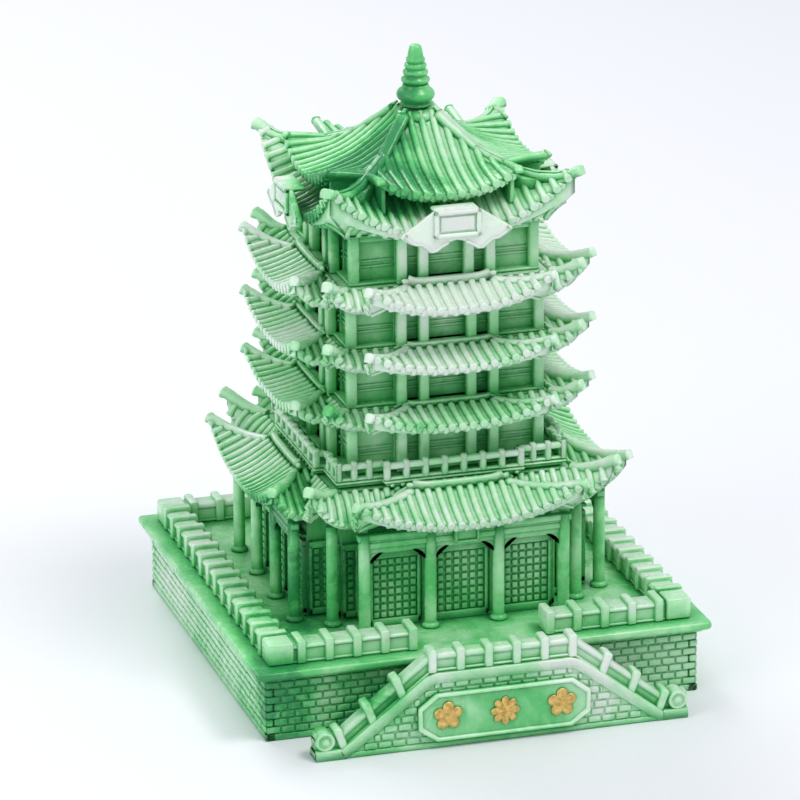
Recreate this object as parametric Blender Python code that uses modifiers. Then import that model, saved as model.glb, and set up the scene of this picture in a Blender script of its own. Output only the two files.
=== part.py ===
"""Tabletop model of a five-storey Chinese tower on a walled terrace.

Moulded in imitation jade: a brick plinth with a double stair in front, an open hall,
four narrower storeys, six tiled roofs with upturned corners, and a gourd finial.
Metres, +Z up. The origin is under the tower's middle, on the table; the front faces -Y.
A piece that repeats on all four sides is built at the front and turned by quarter turns.
"""

import math

import bmesh
import bpy
from mathutils import Matrix

MM = 0.001
FIT = 0.3 * MM  # glue gap between two castings

# Plinth and terrace
PLINTH_HALF = 50.0 * MM
PLINTH_WALL = 2.6 * MM
PLINTH_CORNER = 1.8 * MM
SLAB_HALF = 52.5 * MM
SLAB_THICK = 2.7 * MM
TERRACE_Z = 16.9 * MM
SLAB_EDGE = 0.7 * MM
BASE_PLATE_THICK = 1.8 * MM

# Parapet round the terrace
PARAPET_LINE = 45.8 * MM
PARAPET_SPAN = 47.6 * MM  # the posts are spaced evenly between these distances
PARAPET_WALL = (5.2 * MM, 4.4 * MM)  # thickness, height
PARAPET_POST = (1.9 * MM, 6.2 * MM, 5.3 * MM)  # width, depth, height
CORNER_POST = (5.8 * MM, 5.8 * MM, 4.7 * MM)
GATE_HALF = 15.8 * MM  # half the opening at the head of the stair
POSTS_PER_FRONT_RUN = 5
POSTS_PER_SIDE = 14

# Front stair: a screen wall with a flight down to each side behind it
STAIR_FRONT_Y = -64.3 * MM
STAIR_WALL = 5.2 * MM
STAIR_HALF = 42.6 * MM
STAIR_FOOT = 1.6 * MM
FLIGHT_END_X = 36.4 * MM
LANDING_HALF = 16.0 * MM
LANDING_TOP = 17.4 * MM
RAIL_HEIGHT = 4.2 * MM
RAIL_THICK = 3.6 * MM
RAIL_POST = (1.9 * MM, 4.4 * MM, 5.3 * MM)
DRUM_DEPTH = 4.8 * MM
DRUM_LIFT = 0.5 * MM  # above the wall's foot, inside the rail's own height
LANDING_POSTS = 6
FLIGHT_POSTS = 3
DRUM_RADIUS = 2.2 * MM
STEPS = 8

# Name plaque on the stair wall, with plain ornaments
PLAQUE_HALF = 19.7 * MM
PLAQUE_FLAT_HALF = 15.6 * MM
PLAQUE_Z = (1.7 * MM, 4.8 * MM, 9.7 * MM, 13.0 * MM)
PLAQUE_RIM = 1.0 * MM
PLAQUE_RAISE = 0.9 * MM
PLAQUE_PANEL = 0.4 * MM
EMBLEM_SPACING = 13.0 * MM
EMBLEM_RADIUS = 3.3 * MM
EMBLEM_THICK = 0.4 * MM

# Ground-floor hall
HALL_TOP = 40.2 * MM
HALL_BODY = (25.5 * MM, 21.4 * MM, 32.3 * MM)  # half of square, half and reach of bay
HALL_COLUMN_RADIUS = 1.35 * MM
HALL_COLUMN_FOOT = (1.85 * MM, 1.1 * MM)  # radius, height
HALL_COLUMN_X = (7.9 * MM, 23.1 * MM)
HALL_COLUMN_Y = -35.7 * MM
HALL_CORNER_COLUMN = 28.4 * MM
LINTEL = (1.8 * MM, 3.4 * MM)  # thickness, height
TABLET = (5.6 * MM, 1.2 * MM, 3.2 * MM)  # width, depth, height

# Balcony over the first roof
DECK_Z = (47.9 * MM, 49.4 * MM)
DECK_SQUARE = 26.8 * MM
DECK_BAY = (16.3 * MM, 28.9 * MM)
BALCONY_RAIL = 0.8 * MM
BALCONY_POST = (1.1 * MM, 1.3 * MM, 4.6 * MM)
BALCONY_RAIL_Z = (0.0, 0.8 * MM, 2.9 * MM, 3.8 * MM)  # foot rail, then top rail

# Upper storeys: square body with a shallow bay on each face, and square columns
COLUMN_SIDE = 2.3 * MM
STOREY_PLATE = 0.6 * MM
STOREY_BODY = (20.6 * MM, 11.8 * MM, 21.3 * MM)
STOREY_COLUMNS = (5.5 * MM, 10.6 * MM, 23.1 * MM, 21.6 * MM)  # inner x, outer x, y, corner
TOP_STOREY_SHARE = 0.955

# Four tiled roofs. In millimetres: the main tip, the valley and the bay tip of the eave,
# then half the deck's square and its bay's half and reach, then the heights of the drooped
# eave's underside, of the bay and main tips, and of the deck.
UPPER_ROOF_PLAN = (28.6, (19.5, 27.2), (20.7, 33.9), (23.6, 9.8, 25.4))
ROOFS = {
    "roof_1": (35.0, (24.6, 33.2), (25.9, 41.1), (27.6, 10.8, 31.6), (40.8, 48.8, 51.2, 47.6)),
    "roof_2": (*UPPER_ROOF_PLAN, (61.2, 66.6, 67.3, 64.9)),
    "roof_3": (*UPPER_ROOF_PLAN, (74.7, 80.5, 81.4, 78.6)),
    "roof_4": (*UPPER_ROOF_PLAN, (88.2, 95.4, 95.7, 92.8)),
}

# Every eave droops between upturned tips
TILE_THICK = 1.6 * MM
DROOP_POWER = 2.4
CEILING_RISE = 1.0 * MM
HIP_SAG = 1.1 * MM
RIDGE_BAR = (0.8 * MM, 1.5 * MM)  # depth, height

# Top roof
LOWER_TIP = (27.9 * MM, 117.2 * MM)
LOWER_EAVE = (27.2 * MM, 103.8 * MM)
LOWER_INNER = (16.3 * MM, 112.4 * MM)
LOWER_CEILING = 24.4 * MM
GABLE_Y = -30.9 * MM
GABLE_THICK = 1.3 * MM
GABLE_HALF = 12.8 * MM
GABLE_Z = (101.9 * MM, 105.6 * MM, 111.2 * MM)  # lobes, points, top
GABLE_FRAME = (5.3 * MM, 0.8 * MM, 1.0 * MM)  # half width, stand-off, rim
GABLE_HOOD_BACK = -26.8 * MM
UPPER_ARM = (15.7 * MM, 25.4 * MM)
UPPER_TIP_Z = 117.6 * MM
UPPER_EAVE_Z = 113.1 * MM
UPPER_UNDERSIDE = 112.7 * MM
UPPER_PEAK = (3.0 * MM, 126.6 * MM)
UPPER_CORNER_Z = 116.8 * MM

# Finial, turned: radius and height up each profile
BULB_BASE = 126.9 * MM
BULB_TOP = 131.3 * MM
BULB_RADIUS = 4.3 * MM
BULB_NECK = 3.0 * MM
SPIRE_BASE = 131.6 * MM
SPIRE_RINGS = ((3.3 * MM, 132.5 * MM), (2.8 * MM, 134.6 * MM))
RING_ROUND = 0.9 * MM
CONE = (2.45 * MM, 135.8 * MM, 1.3 * MM, 140.4 * MM)  # foot radius and z, tip radius and z
TURNED_STEPS = 20

SIDES = {"front": 0, "right": 1, "rear": 2, "left": 3}  # quarter turns

JADE = (0.42, 0.80, 0.50)
PALE_JADE = (0.78, 0.93, 0.78)
DEEP_JADE = (0.13, 0.55, 0.28)
GOLD = (0.80, 0.58, 0.24)
ROOF_COLORS = {"roof_1": JADE, "roof_2": JADE, "roof_3": JADE, "roof_4": PALE_JADE}


# Scene and materials


def clear_scene():
    for old in list(bpy.data.objects):
        bpy.data.objects.remove(old, do_unlink=True)


def new_collection(name):
    made = bpy.data.collections.new(name)
    bpy.context.scene.collection.children.link(made)
    return made


def material(name, color, roughness, metallic):
    made = bpy.data.materials.new(name)
    made.use_nodes = True
    shader = made.node_tree.nodes["Principled BSDF"]
    shader.inputs["Base Color"].default_value = (*color, 1.0)
    shader.inputs["Roughness"].default_value = roughness
    shader.inputs["Metallic"].default_value = metallic
    made.diffuse_color = (*color, 1.0)
    return made


def finish(part, color=JADE, roughness=0.22, metallic=0.0):
    part.data.materials.clear()
    part.data.materials.append(material(part.name, color, roughness, metallic))
    return part


# Shapes


def mesh_object(name, bm):
    mesh = bpy.data.meshes.new(name)
    bmesh.ops.recalc_face_normals(bm, faces=bm.faces)
    bm.to_mesh(mesh)
    bm.free()
    made = bpy.data.objects.new(name, mesh)
    TOWER.objects.link(made)
    return made


def add_box(bm, low, high):
    size = [b - a for a, b in zip(low, high)]
    middle = [(a + b) / 2 for a, b in zip(low, high)]
    place = Matrix.Translation(middle) @ Matrix.Diagonal((*size, 1.0))
    bmesh.ops.create_cube(bm, size=1.0, matrix=place)


def add_cylinder(bm, x, y, low, high, radius, sides=12):
    place = Matrix.Translation((x, y, (low + high) / 2))
    bmesh.ops.create_cone(
        bm, cap_ends=True, segments=sides, radius1=radius, radius2=radius,
        depth=high - low, matrix=place,
    )


def boxes(name, spans):
    """One mesh of boxes, each given as its low and high corner."""
    bm = bmesh.new()
    for low, high in spans:
        add_box(bm, low, high)
    return mesh_object(name, bm)


def plate(name, outline, low, high, hole=None):
    """A flat outline, with a hole if one is given, extruded between two heights."""
    curve = bpy.data.curves.new(name, "CURVE")
    curve.dimensions = "2D"
    curve.fill_mode = "BOTH"
    curve.extrude = (high - low) / 2
    for loop in filter(None, (outline, hole)):
        spline = curve.splines.new("POLY")
        spline.points.add(len(loop) - 1)
        for point, (x, y) in zip(spline.points, loop):
            point.co = (x, y, 0.0, 1.0)
        spline.use_cyclic_u = True
    drawn = bpy.data.objects.new(name, curve)
    TOWER.objects.link(drawn)
    bpy.context.view_layer.update()
    seen = drawn.evaluated_get(bpy.context.evaluated_depsgraph_get())
    mesh = bpy.data.meshes.new_from_object(seen)
    bpy.data.objects.remove(drawn, do_unlink=True)
    bm = bmesh.new()
    bm.from_mesh(mesh)
    bpy.data.meshes.remove(mesh)
    bmesh.ops.remove_doubles(bm, verts=bm.verts, dist=1e-6)
    if not hole:
        merge_caps(bm)
    bmesh.ops.translate(bm, verts=bm.verts, vec=(0, 0, (low + high) / 2))
    return mesh_object(name, bm)


def merge_caps(bm):
    """Makes one face of each cap, so that no flat sliver is left between aligned corners."""
    for sign in (-1, 1):
        cap = [face for face in bm.faces if all(v.co.z * sign > 0 for v in face.verts)]
        bmesh.ops.dissolve_faces(bm, faces=cap)


def upright(part, front_y, thick):
    """Stands a plate drawn in XY up in XZ, its face at front_y and its back behind it."""
    spin = Matrix.Rotation(math.radians(90), 4, "X")
    part.data.transform(Matrix.Translation((0, front_y + thick, 0)) @ spin)
    return part


def loft(name, rings):
    """A solid through rings round Z of equally many points, with flat caps on its ends."""
    bm = bmesh.new()
    loops = [[bm.verts.new(point) for point in ring] for ring in rings]
    for lower, upper in zip(loops, loops[1:]):
        for i, _ in enumerate(lower):
            j = (i + 1) % len(lower)
            bm.faces.new((lower[i], lower[j], upper[j], upper[i]))
    for loop, ring in ((loops[0], rings[0]), (loops[-1], rings[-1])):
        hub = bm.verts.new((0.0, 0.0, ring[0][2]))
        for i, vert in enumerate(loop):
            bm.faces.new((vert, loop[(i + 1) % len(loop)], hub))
    bmesh.ops.triangulate(bm, faces=bm.faces)
    return mesh_object(name, bm)


def turned(name, profile):
    """A body turned round Z from (radius, z) points listed from the top down."""
    bm = bmesh.new()
    last = None
    for radius, z in profile:
        vert = bm.verts.new((radius, 0.0, z))
        if last:
            bm.edges.new((last, vert))
        last = vert
    made = mesh_object(name, bm)
    screw = made.modifiers.new("turn", "SCREW")
    screw.steps = TURNED_STEPS
    screw.render_steps = TURNED_STEPS
    screw.use_merge_vertices = True
    screw.merge_threshold = 1e-5
    screw.use_smooth_shade = True
    return made


def joined(part, *others):
    """Welds other shapes onto a part with Boolean unions and removes them from view."""
    for other in others:
        cut = part.modifiers.new("join", "BOOLEAN")
        cut.operation = "UNION"
        cut.solver = "EXACT"
        cut.object = as_tool(other)
    return part


def carved(part, other):
    cut = part.modifiers.new("cut", "BOOLEAN")
    cut.operation = "DIFFERENCE"
    cut.solver = "EXACT"
    cut.object = as_tool(other)
    return part


def as_tool(other):
    other.hide_render = True
    other.display_type = "WIRE"
    for home in list(other.users_collection):
        home.objects.unlink(other)
    CUTTERS.objects.link(other)
    return other


def turn(part, quarter):
    """Turns a front piece, and whatever is welded to it, to another side."""
    tools = [m.object for m in part.modifiers if m.type == "BOOLEAN"]
    for piece in [part, *tools]:
        piece.rotation_euler[2] = math.radians(90 * quarter)
    return part


def ribbon(path, width):
    """The outline of a band of one width along an open path of right-angled bends."""
    left, right = [], []
    for i, (x, y) in enumerate(path):
        before = path[max(i - 1, 0)]
        after = path[min(i + 1, len(path) - 1)]
        turns = [step for step in ((before, (x, y)), ((x, y), after)) if step[0] != step[1]]
        nx = ny = 0.0
        for (x0, y0), (x1, y1) in turns:
            length = math.hypot(x1 - x0, y1 - y0)
            nx -= (y1 - y0) / length
            ny += (x1 - x0) / length
        share = 2.0 / (nx * nx + ny * ny) if len(turns) == 2 else 1.0
        nx, ny = nx * share * width / 2, ny * share * width / 2
        left.append((x + nx, y + ny))
        right.append((x - nx, y - ny))
    return left + right[::-1]


def square(half):
    return [(-half, -half), (half, -half), (half, half), (-half, half)]


def cross(half, bay_half, bay_reach):
    """A square outline with one bay on each side, from the front bay round."""
    front = [(-half, -half), (-bay_half, -half), (-bay_half, -bay_reach),
             (bay_half, -bay_reach), (bay_half, -half)]
    return four_sides(front)


def four_sides(front):
    """Repeats a run of points or of rings' points on all four sides."""
    points = []
    for quarter in range(4):
        for x, y, *rest in front:
            for _ in range(quarter):
                x, y = -y, x
            points.append((x, y, *rest))
    return points


def spread(low, high, count):
    return [low + (high - low) * i / (count - 1) for i in range(count)]


def post_box(x, y, foot, size):
    width, depth, height = size
    return ((x - width / 2, y - depth / 2, foot), (x + width / 2, y + depth / 2, foot + height))


# Plinth, terrace and parapet


def build_plinth():
    slab_low = TERRACE_Z - SLAB_THICK
    wall = plate("plinth_wall", rounded_square(PLINTH_HALF, PLINTH_CORNER), 0.0,
                 slab_low - FIT, hole=square(PLINTH_HALF - PLINTH_WALL))
    finish(wall)
    inside = PLINTH_HALF - PLINTH_WALL - FIT
    finish(plate("base_plate", square(inside), 0.0, BASE_PLATE_THICK), PALE_JADE, 0.4)
    slab = boxes("terrace_slab", [((-SLAB_HALF, -SLAB_HALF, slab_low),
                                   (SLAB_HALF, SLAB_HALF, TERRACE_Z))])
    bevel = slab.modifiers.new("edge", "BEVEL")
    bevel.width = SLAB_EDGE
    bevel.segments = 2
    finish(slab, JADE)


def rounded_square(half, radius, steps=4):
    points = []
    for corner, (sx, sy) in enumerate(((-1, -1), (1, -1), (1, 1), (-1, 1))):
        start = math.radians(180 + 90 * corner)
        for i in range(steps + 1):
            a = start + math.radians(90) * i / steps
            points.append((sx * (half - radius) + radius * math.cos(a),
                           sy * (half - radius) + radius * math.sin(a)))
    return points


def parapet_run(name, start, end, posts, corner_at_start):
    """A wall along -Y from start to end in X, with posts proud of both faces."""
    foot = TERRACE_Z + FIT
    thick, height = PARAPET_WALL
    wall = boxes(name, [((start, -PARAPET_LINE - thick / 2, foot),
                         (end, -PARAPET_LINE + thick / 2, foot + height))])
    spans = [post_box(x, -PARAPET_LINE, foot, PARAPET_POST) for x in posts]
    if corner_at_start:
        spans.append(post_box(start, -PARAPET_LINE, foot, CORNER_POST))
    return finish(joined(wall, boxes(name + "_posts", spans)), PALE_JADE)


def build_parapets():
    corner = PARAPET_LINE
    end_gap = CORNER_POST[0] / 2 + FIT
    run = spread(-PARAPET_SPAN, -GATE_HALF, POSTS_PER_FRONT_RUN + 1)[1:]
    parapet_run("parapet_front_left", -corner, -GATE_HALF, run, True)
    right = [-x for x in run]
    # The front right run starts clear of the right side's corner post.
    parapet_run("parapet_front_right", GATE_HALF, corner - end_gap, right, False)
    along = spread(-PARAPET_SPAN, PARAPET_SPAN, POSTS_PER_SIDE + 2)[1:-1]
    for side in ("right", "rear", "left"):
        part = parapet_run("parapet_" + side, -corner, corner - end_gap, along, True)
        turn(part, SIDES[side])


# Stair, plaque and ornaments


def stair_path():
    """The line of the wall's top, from the left foot over the landing to the right."""
    return [(-STAIR_HALF, STAIR_FOOT), (-FLIGHT_END_X, STAIR_FOOT), (-LANDING_HALF, LANDING_TOP),
            (LANDING_HALF, LANDING_TOP), (FLIGHT_END_X, STAIR_FOOT), (STAIR_HALF, STAIR_FOOT)]


def build_stair_wall():
    outline = [(-STAIR_HALF, 0.0), (STAIR_HALF, 0.0), *reversed(stair_path())]
    wall = plate("stair_front_wall", outline, 0.0, STAIR_WALL)
    finish(upright(wall, STAIR_FRONT_Y, STAIR_WALL))


def rail_top(x):
    """Height of the stair wall's top at a distance x from the middle."""
    share = (abs(x) - LANDING_HALF) / (FLIGHT_END_X - LANDING_HALF)
    share = min(max(share, 0.0), 1.0)
    return LANDING_TOP + (STAIR_FOOT - LANDING_TOP) * share


def build_balustrade():
    middle = STAIR_FRONT_Y + STAIR_WALL / 2
    lower = [(x, z + FIT) for x, z in stair_path()]
    upper = [(x, z + RAIL_HEIGHT) for x, z in lower]
    rail = plate("stair_balustrade", lower + upper[::-1], 0.0, RAIL_THICK)
    upright(rail, middle - RAIL_THICK / 2, RAIL_THICK)
    landing = spread(-LANDING_HALF, LANDING_HALF, LANDING_POSTS)
    flight = spread(LANDING_HALF, STAIR_HALF, FLIGHT_POSTS + 2)[1:-1]
    spots = landing + flight + [-x for x in flight]
    lift = 0.5 * MM  # a post starts inside the rail, clear of the sloping wall under it
    slope = (LANDING_TOP - STAIR_FOOT) / (FLIGHT_END_X - LANDING_HALF)
    spans = []
    for x in spots:
        low, high = post_box(x, middle, rail_top(x) + FIT + lift, RAIL_POST)
        if abs(x) > LANDING_HALF:
            low = (low[0], low[1], low[2] + slope * RAIL_POST[0] / 2)
        spans.append((low, high))
    posts = boxes("stair_balustrade_posts", spans)
    finish(joined(rail, posts, build_drums(middle)), PALE_JADE)


def build_drums(middle):
    """Round drum stones that close the balustrade at the foot of each flight."""
    bm = bmesh.new()
    lying = Matrix.Rotation(math.radians(90), 4, "X")
    for x in (-STAIR_HALF + DRUM_RADIUS + FIT, STAIR_HALF - DRUM_RADIUS - FIT):
        place = Matrix.Translation((x, middle, STAIR_FOOT + DRUM_LIFT + DRUM_RADIUS)) @ lying
        bmesh.ops.create_cone(bm, cap_ends=True, segments=20, radius1=DRUM_RADIUS,
                              radius2=DRUM_RADIUS, depth=DRUM_DEPTH, matrix=place)
    return mesh_object("stair_balustrade_drums", bm)


def build_stair_core():
    """The landing and both flights of steps, behind the screen wall."""
    front = STAIR_FRONT_Y + STAIR_WALL + FIT
    back = -PLINTH_HALF - FIT
    tread = (FLIGHT_END_X - LANDING_HALF) / STEPS
    rise = TERRACE_Z / (STEPS + 1)
    head = LANDING_HALF - tread / 2  # the steps stay below the wall's sloping top
    right = [(head, TERRACE_Z)]
    for step in range(STEPS):
        x = head + tread * step
        z = TERRACE_Z - rise * (step + 1)
        right += [(x, z), (x + tread, z)]
    right.append((head + tread * STEPS, 0.0))
    left = [(-x, z) for x, z in reversed(right)]
    core = plate("stair_core", left + right, 0.0, back - front)
    upright(core, front, back - front)
    low = TERRACE_Z - SLAB_THICK - FIT
    notch = boxes("stair_core_notch", [((-STAIR_HALF, -SLAB_HALF - FIT, low),
                                        (STAIR_HALF, 0.0, TERRACE_Z + SLAB_THICK))])
    finish(carved(core, notch))


def plaque_outline(inset):
    low, low_side, high_side, high = PLAQUE_Z
    flat = PLAQUE_FLAT_HALF - inset / 2
    half = PLAQUE_HALF - inset
    return [(-flat, low + inset), (flat, low + inset), (half, low_side + inset / 2),
            (half, high_side - inset / 2), (flat, high - inset), (-flat, high - inset),
            (-half, high_side - inset / 2), (-half, low_side + inset / 2)]


def blossom(radius, petals, points):
    """A flower outline with round petals."""
    outline = []
    for i in range(points):
        angle = 2 * math.pi * i / points
        r = radius * (0.74 + 0.26 * math.cos(petals * angle))
        outline.append((r * math.sin(angle), r * math.cos(angle)))
    return outline


def build_plaque():
    face = STAIR_FRONT_Y - FIT
    frame = plate("plaque_frame", plaque_outline(0.0), 0.0, PLAQUE_RAISE,
                  hole=plaque_outline(PLAQUE_RIM)[::-1])
    finish(upright(frame, face - PLAQUE_RAISE, PLAQUE_RAISE), PALE_JADE)
    panel = plate("plaque_panel", plaque_outline(PLAQUE_RIM + FIT), 0.0, PLAQUE_PANEL)
    finish(upright(panel, face - PLAQUE_PANEL, PLAQUE_PANEL))
    middle = (PLAQUE_Z[0] + PLAQUE_Z[3]) / 2
    front = face - PLAQUE_PANEL - FIT - EMBLEM_THICK
    for name, place, petals in (("left", -1, 5), ("centre", 0, 8), ("right", 1, 5)):
        outline = [(x + place * EMBLEM_SPACING, z + middle)
                   for x, z in blossom(EMBLEM_RADIUS, petals, 8 * petals)]
        emblem = plate("gold_emblem_" + name, outline, 0.0, EMBLEM_THICK)
        finish(upright(emblem, front, EMBLEM_THICK), GOLD, 0.3, 1.0)


# Ground-floor hall


def build_hall():
    foot = TERRACE_Z + FIT
    finish(plate("hall_core", cross(*HALL_BODY), foot, HALL_TOP))
    beam_thick, beam_height = LINTEL
    reach = HALL_COLUMN_X[1] + HALL_COLUMN_RADIUS
    for side, quarter in SIDES.items():
        name = "hall_colonnade_" + side
        beam = boxes(name, [((-reach, HALL_COLUMN_Y - beam_thick / 2, HALL_TOP - beam_height),
                             (reach, HALL_COLUMN_Y + beam_thick / 2, HALL_TOP))])
        spots = [sign * x for x in HALL_COLUMN_X for sign in (-1, 1)]
        columns = hall_columns(name + "_columns", [(x, HALL_COLUMN_Y) for x in spots])
        turn(finish(joined(beam, *columns)), quarter)
    corner = HALL_CORNER_COLUMN
    corners = {"front_left": (-corner, -corner), "front_right": (corner, -corner),
               "rear_right": (corner, corner), "rear_left": (-corner, corner)}
    for name, spot in corners.items():
        shaft, drum = hall_columns("hall_corner_column_" + name, [spot], "")
        finish(joined(shaft, drum))
    width, depth, height = TABLET
    front = HALL_COLUMN_Y - beam_thick / 2 - FIT
    top = HALL_TOP - FIT
    finish(boxes("hall_tablet", [((-width / 2, front - depth, top - height),
                                  (width / 2, front, top))]))


def hall_columns(name, spots, shaft_ending="_shafts"):
    """Round shafts with a drum foot, as two meshes that overlap."""
    foot = TERRACE_Z + FIT
    overlap = 0.6 * MM
    foot_radius, foot_height = HALL_COLUMN_FOOT
    shafts = bmesh.new()
    drums = bmesh.new()
    for x, y in spots:
        add_cylinder(shafts, x, y, foot + foot_height - overlap, HALL_TOP - FIT,
                     HALL_COLUMN_RADIUS)
        add_cylinder(drums, x, y, foot, foot + foot_height, foot_radius)
    return mesh_object(name + shaft_ending, shafts), mesh_object(name + "_feet", drums)


# Roofs


def eave_sector(main_tip, valley, bay_tip):
    """Front run of a roof's outer edge: (x, y, droop), with droop 0 at a tip, 1 between."""
    corner = (-main_tip, -main_tip)
    inner = (-valley[0], -valley[1])
    bay = (-bay_tip[0], -bay_tip[1])
    points = edge_run(corner, inner, 3, lambda t: 1 - (1 - t) ** DROOP_POWER)
    points += edge_run(inner, bay, 2, lambda t: 1 - t ** DROOP_POWER)
    points += edge_run(bay, (-bay[0], bay[1]), 8, lambda t: 1 - abs(2 * t - 1) ** DROOP_POWER)
    points += edge_run((-bay[0], bay[1]), (-inner[0], inner[1]), 2,
                       lambda t: 1 - (1 - t) ** DROOP_POWER)
    points += edge_run((-inner[0], inner[1]), (main_tip, -main_tip), 3,
                       lambda t: 1 - t ** DROOP_POWER)
    return points


def edge_run(start, end, steps, droop):
    """Points from start up to, not including, end, each with its droop."""
    points = []
    for i in range(steps):
        t = i / steps
        points.append((start[0] + (end[0] - start[0]) * t,
                       start[1] + (end[1] - start[1]) * t, droop(t)))
    return points


def build_tiled_roof(name, eave, inner, heights, color):
    """A skirt roof of twelve tips round a flat deck.

    eave holds the main tip, the valley and the bay tip; inner the square's half, and the
    bay's half and reach; heights the drooped eave's underside, the bay and main tips' top
    and the deck.
    """
    eave_z, bay_z, main_z, deck_z = heights
    half, bay_half, reach = inner
    outer = four_sides(eave_sector(*eave))
    top = four_sides(eave_sector(half, (bay_half, half), (bay_half, reach)))
    per_side = len(outer) // 4
    rings = [[(x, y, eave_z + CEILING_RISE) for x, y, _ in top]]
    low_ring, high_ring = [], []
    for i, (x, y, droop) in enumerate(outer):
        near_corner = min(i % per_side, per_side - i % per_side) < 3
        tip_z = main_z if near_corner else bay_z
        z = tip_z + (eave_z + TILE_THICK - tip_z) * droop
        low_ring.append((x, y, z - TILE_THICK))
        high_ring.append((x, y, z))
    rings += [low_ring, high_ring]
    for share in (0.35, 0.7):
        rings.append([slope_point(a, b, deck_z, share) for a, b in zip(high_ring, top)])
    rings.append([(x, y, deck_z) for x, y, _ in top])
    roof = loft(name, rings)
    depth, height = RIDGE_BAR
    sink = 0.6 * MM
    bars = []
    for x, y in ((0, -reach), (reach, 0), (0, reach), (-reach, 0)):
        wide = (bay_half, depth / 2) if x == 0 else (depth / 2, bay_half)
        y0 = y * (1 - depth / 2 / reach)
        x0 = x * (1 - depth / 2 / reach)
        bars.append(((x0 - wide[0], y0 - wide[1], deck_z - sink),
                     (x0 + wide[0], y0 + wide[1], deck_z - sink + height)))
    return finish(joined(roof, boxes(name + "_ridges", bars)), color)


def slope_point(outer, inner, deck_z, share):
    """A point up the slope: straight in plan, hollow in height, tips falling off fast."""
    x = outer[0] + (inner[0] - outer[0]) * share
    y = outer[1] + (inner[1] - outer[1]) * share
    rise = 0.55 * share + 0.45 * share * share
    z = outer[2] + (deck_z - outer[2]) * rise
    if outer[2] > deck_z - TILE_THICK:
        z -= HIP_SAG * math.sin(math.pi * share)
    return (x, y, z)


def build_roofs():
    for name, (main_tip, valley, bay_tip, inner, heights) in ROOFS.items():
        eave = (main_tip * MM, [v * MM for v in valley], [v * MM for v in bay_tip])
        build_tiled_roof(name, eave, [v * MM for v in inner], [v * MM for v in heights],
                         ROOF_COLORS[name])


def build_top_roof():
    build_lower_skirt()
    build_upper_roof()
    for side, quarter in SIDES.items():
        turn(build_gable("gable_board_" + side), quarter)


def build_lower_skirt():
    """The square skirt with four long upturned corners, under the top roof."""
    tip, tip_z = LOWER_TIP
    eave_y, eave_z = LOWER_EAVE
    steps = 16
    outer, inner = [], []
    for i in range(steps):
        s = 2 * i / steps - 1
        bend = abs(s) ** DROOP_POWER
        outer.append((s * tip, -(eave_y + (tip - eave_y) * bend),
                      eave_z + TILE_THICK + (tip_z - eave_z - TILE_THICK) * bend))
        inner.append((s * LOWER_INNER[0], -LOWER_INNER[0], LOWER_INNER[1]))
    outer, inner = four_sides(outer), four_sides(inner)
    ceiling = eave_z + CEILING_RISE
    spread_out = LOWER_CEILING / LOWER_INNER[0]
    rings = [[(x * spread_out, y * spread_out, ceiling) for x, y, _ in inner],
             [(x, y, z - TILE_THICK) for x, y, z in outer], outer]
    for share in (0.35, 0.7):
        rings.append([(a[0] + (b[0] - a[0]) * share, a[1] + (b[1] - a[1]) * share,
                       a[2] + (b[2] - a[2]) * (0.55 * share + 0.45 * share ** 2))
                      for a, b in zip(outer, inner)])
    rings.append(inner)
    finish(loft("top_roof_skirt", rings), PALE_JADE)


def build_upper_roof():
    """The pyramid roof with a raised eave on each side."""
    arm, reach = UPPER_ARM
    outer, inner = [], []
    sides, front = 2, 8
    steps = sides + front + sides
    for i in range(steps):
        if i < sides:
            x, y = -arm, -(arm + (reach - arm) * i / sides)
            z = UPPER_CORNER_Z + (UPPER_TIP_Z - UPPER_CORNER_Z) * i / sides
        elif i <= sides + front:
            s = 2 * (i - sides) / front - 1
            x, y = s * arm, -reach
            z = UPPER_EAVE_Z + (UPPER_TIP_Z - UPPER_EAVE_Z) * abs(s) ** DROOP_POWER
        else:
            back = (i - sides - front) / sides
            x, y = arm, -(reach + (arm - reach) * back)
            z = UPPER_TIP_Z + (UPPER_CORNER_Z - UPPER_TIP_Z) * back
        outer.append((x, y, z))
        inner.append((2 * i / steps - 1, -1.0))
    outer, inner = four_sides(outer), four_sides(inner)
    body = arm - FIT
    rings = [[(x * body, y * body, UPPER_UNDERSIDE) for x, y in inner],
             [(x, y, z - TILE_THICK) for x, y, z in outer], outer]
    peak, peak_z = UPPER_PEAK
    for share in (0.0, 0.3, 0.6, 0.8, 1.0):
        half = body + (peak - body) * share
        z = UPPER_CORNER_Z + (peak_z - UPPER_CORNER_Z) * (0.5 * share + 0.5 * share ** 2)
        rings.append([(x * half, y * half, z) for x, y in inner])
    finish(loft("top_roof_pyramid", rings), DEEP_JADE)


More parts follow.
